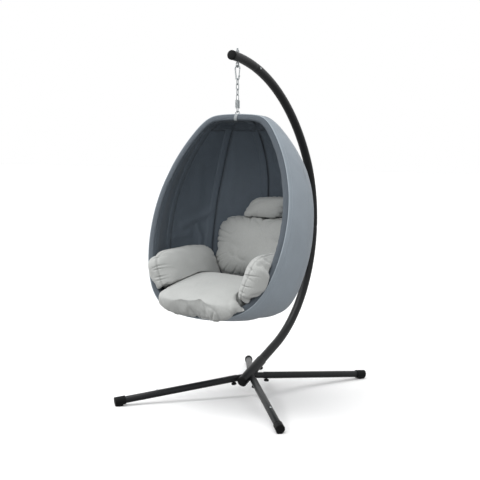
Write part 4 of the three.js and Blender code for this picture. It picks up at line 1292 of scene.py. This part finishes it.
def hold_in(cushion, start, points, proud=0.0):
    """Moves points that left the cushion's space back towards where they started."""
    blocked = cushion.blocked(0.0, proud)
    low, high = np.zeros(len(points)), np.ones(len(points))
    out = blocked(points)
    for _ in range(14):
        half = (low + high) / 2
        stopped = blocked(start + (points - start) * half[:, None])
        low, high = np.where(stopped, low, half), np.where(stopped, half, high)
    share = np.where(out, low, 1.0)
    return start + (points - start) * share[:, None]


def pleats(sizes, around, off, length):
    """Creases that run out from the seam, deepest at the seam, each with its own length and slant."""
    choose = np.random.default_rng(sizes["seed"])
    count = round(length / PLEAT_SPACING)
    depth = np.zeros(len(around))
    for number in range(count):
        at = (number + choose.uniform(0.1, 0.9)) * length / count
        reach = choose.uniform(0.25, 1.0) * sizes["reach"]
        slant = choose.uniform(-0.5, 0.5)
        width = choose.uniform(0.0035, 0.0065)
        gap = np.abs(around - at - slant * off)
        gap = np.minimum(gap, length - gap)
        depth = np.maximum(depth, choose.uniform(0.4, 1.0) * hump(gap, width) * hump(off, reach))
    return depth


def wrinkles(local, seed):
    """Long soft wrinkles that come and go over a cushion's faces."""
    lines = hump(ripple(local * (1.0, 0.5, 1.0), 10.0, seed + 5.0), 0.10)
    return lines * ease(ripple(local, 6.0, seed + 9.0), -0.05, 0.30)


def sew(cushion, made):
    """Adds the seam round the cushion's edge, the creases that run out from it, and soft dents, and paints
    shade into the seam and the creases.
    """
    points = vertex_array(made.data)
    normals = vertex_array(made.data, "normal")
    sizes = cushion.sizes
    local = cushion.local(points)
    thin = sizes["thin"]
    wide = [i for i in range(3) if i != thin]
    off = local[:, thin] - sizes["seam_at"] * cushion.half[thin]
    shares = [local[:, i] / cushion.half[i] for i in wide]
    length = 2 * math.pi * float(np.mean(cushion.half[wide]))
    around = (np.arctan2(shares[1], shares[0]) / (2 * math.pi) + 0.5) * length
    near_edge = ease(np.abs(np.stack(shares)).max(axis=0), 0.40, 0.95)
    creases = pleats(sizes, around, off, length) * near_edge
    puffs = hump(off, sizes["reach"]) * near_edge * (1 - creases)
    seam = near_edge * hump(off, SEAM_WIDTH)
    dents = 0.0040 * ripple(points, 7.0, sizes["seed"] + 1.7) + 0.0016 * ripple(points, 19.0, sizes["seed"])
    dents -= WRINKLE_DEPTH * wrinkles(local, sizes["seed"])
    move = sizes["gather"] * (0.3 * puffs - creases) - SEAM_SUNK * seam + dents
    moved = points + normals * move[:, None]
    held = hold_in(cushion, points - normals * SEWN_ROOM, moved, SEWN_PROUD)
    made.data.vertices.foreach_set("co", held.ravel())
    # painted shade in the seam and the creases
    layer = made.data.attributes.new("painted_shade", "FLOAT", "POINT")
    layer.data.foreach_set("value", np.maximum(seam * 0.7, creases * 0.6).astype(np.float32))
    made.data.update()


def build_cushions():
    cushions = [Cushion(name) for name in CUSHION_ORDER]
    objects = [cushion.blank() for cushion in cushions]
    for made in objects:
        remesh(made)
    fill(cushions, objects)
    for cushion, made in zip(cushions, objects):
        soften(made, 8)
        finer = made.modifiers.new("finer", "SUBSURF")
        finer.levels = finer.render_levels = 1
        bake_modifiers(made)
        sew(cushion, made)
        made.data.shade_smooth()
        made.data.materials.clear()
        made.data.materials.append(CUSHION_FABRIC)
        settle(made, "basket", [cushion.name])


# ---------------------------------------------------------------- studio
def add_light(name, kind, energy, direction, place=(0, 0, 0), **settings):
    """A light that shines from a direction; a sun's place doesn't matter."""
    data = bpy.data.lights.new(name, kind)
    data.energy = energy
    for key, value in settings.items():
        setattr(data, key, value)
    light = bpy.data.objects.new(name, data)
    light.location = place
    light.rotation_euler = Vector(direction).to_track_quat("Z", "Y").to_euler()
    bpy.context.scene.collection.objects.link(light)


def build_studio():
    look = Look("floor_look")
    shade = look.mix(look.noise(0.7, 3), srgb("f6f6f6"), srgb("fafafa"))
    grain = look.bump(look.noise(40, 2), 0.0005)
    look.set(Base_Color=shade, Roughness=0.9, Specular_IOR_Level=0.1, Normal=grain)
    mesh = bpy.data.meshes.new("studio_floor")
    corners = [(x * FLOOR_HALF, y * FLOOR_HALF, 0) for x, y in ((-1, -1), (1, -1), (1, 1), (-1, 1))]
    mesh.from_pydata(corners, [], [(0, 1, 2, 3)])
    mesh.materials.append(look.material)
    floor = bpy.data.objects.new("studio_floor", mesh)
    bpy.context.scene.collection.objects.link(floor)
    floor.visible_diffuse = floor.visible_glossy = False

    world = bpy.data.worlds.new("studio")
    bpy.context.scene.world = world
    world.use_nodes = True
    tree = world.node_tree
    seen = tree.nodes.new("ShaderNodeLightPath").outputs["Is Camera Ray"]
    way = tree.nodes.new("ShaderNodeSeparateXYZ")
    tree.links.new(tree.nodes.new("ShaderNodeTexCoord").outputs["Generated"], way.inputs[0])
    glow = tree.nodes.new("ShaderNodeMapRange")
    tree.links.new(way.outputs["Z"], glow.inputs["Value"])
    for socket, value in zip(("From Min", "From Max", "To Min", "To Max"), SKY_HEIGHTS + SKY_GLOW):
        glow.inputs[socket].default_value = value
    strength = tree.nodes.new("ShaderNodeMapRange")
    tree.links.new(seen, strength.inputs["Value"])
    tree.links.new(glow.outputs[0], strength.inputs["To Min"])
    strength.inputs["To Max"].default_value = 1.0
    background = tree.nodes["Background"]
    background.inputs["Color"].default_value = (1, 1, 1, 1)
    tree.links.new(strength.outputs[0], background.inputs["Strength"])

    add_light("top_sun", "SUN", 1.1, (-0.10, -0.20, 1.0), angle=math.radians(36))
    add_light("front_sun", "SUN", 0.45, (0.20, -0.95, 0.55), angle=math.radians(30))
    place = Vector((-3.4, -2.2, 3.4))
    aim = Vector((0, HANG_Y, 1.2))
    add_light("left_strip", "AREA", 60, place - aim, place, shape="DISK", size=1.2)

    scene = bpy.context.scene
    scene.view_settings.view_transform = "Standard"
    camera = bpy.data.objects.new("camera", bpy.data.cameras.new("camera"))
    camera.location = CAMERA_PLACE
    camera.rotation_euler = [math.radians(a) for a in CAMERA_TURN]
    camera.data.lens = CAMERA_LENS
    scene.collection.objects.link(camera)
    scene.camera = camera


# ---------------------------------------------------------------- the whole chair
build_post()
build_hub()
build_legs()
build_eye_bolt()
build_snap_hook()
build_chain()
build_spring()
build_hanger_loop()
build_shell()
build_lining()
build_hem()
build_cushions()
for hidden in ("mid_joint_sleeve", "top_joint_sleeve", "base_plate", "crown_plate", "rib_centre",
               "rib_left_rear", "rib_left_side", "rib_right_rear", "rib_right_side"):
    keep_node(hidden, FRAME_STEEL)
build_studio()

bpy.context.view_layer.update()
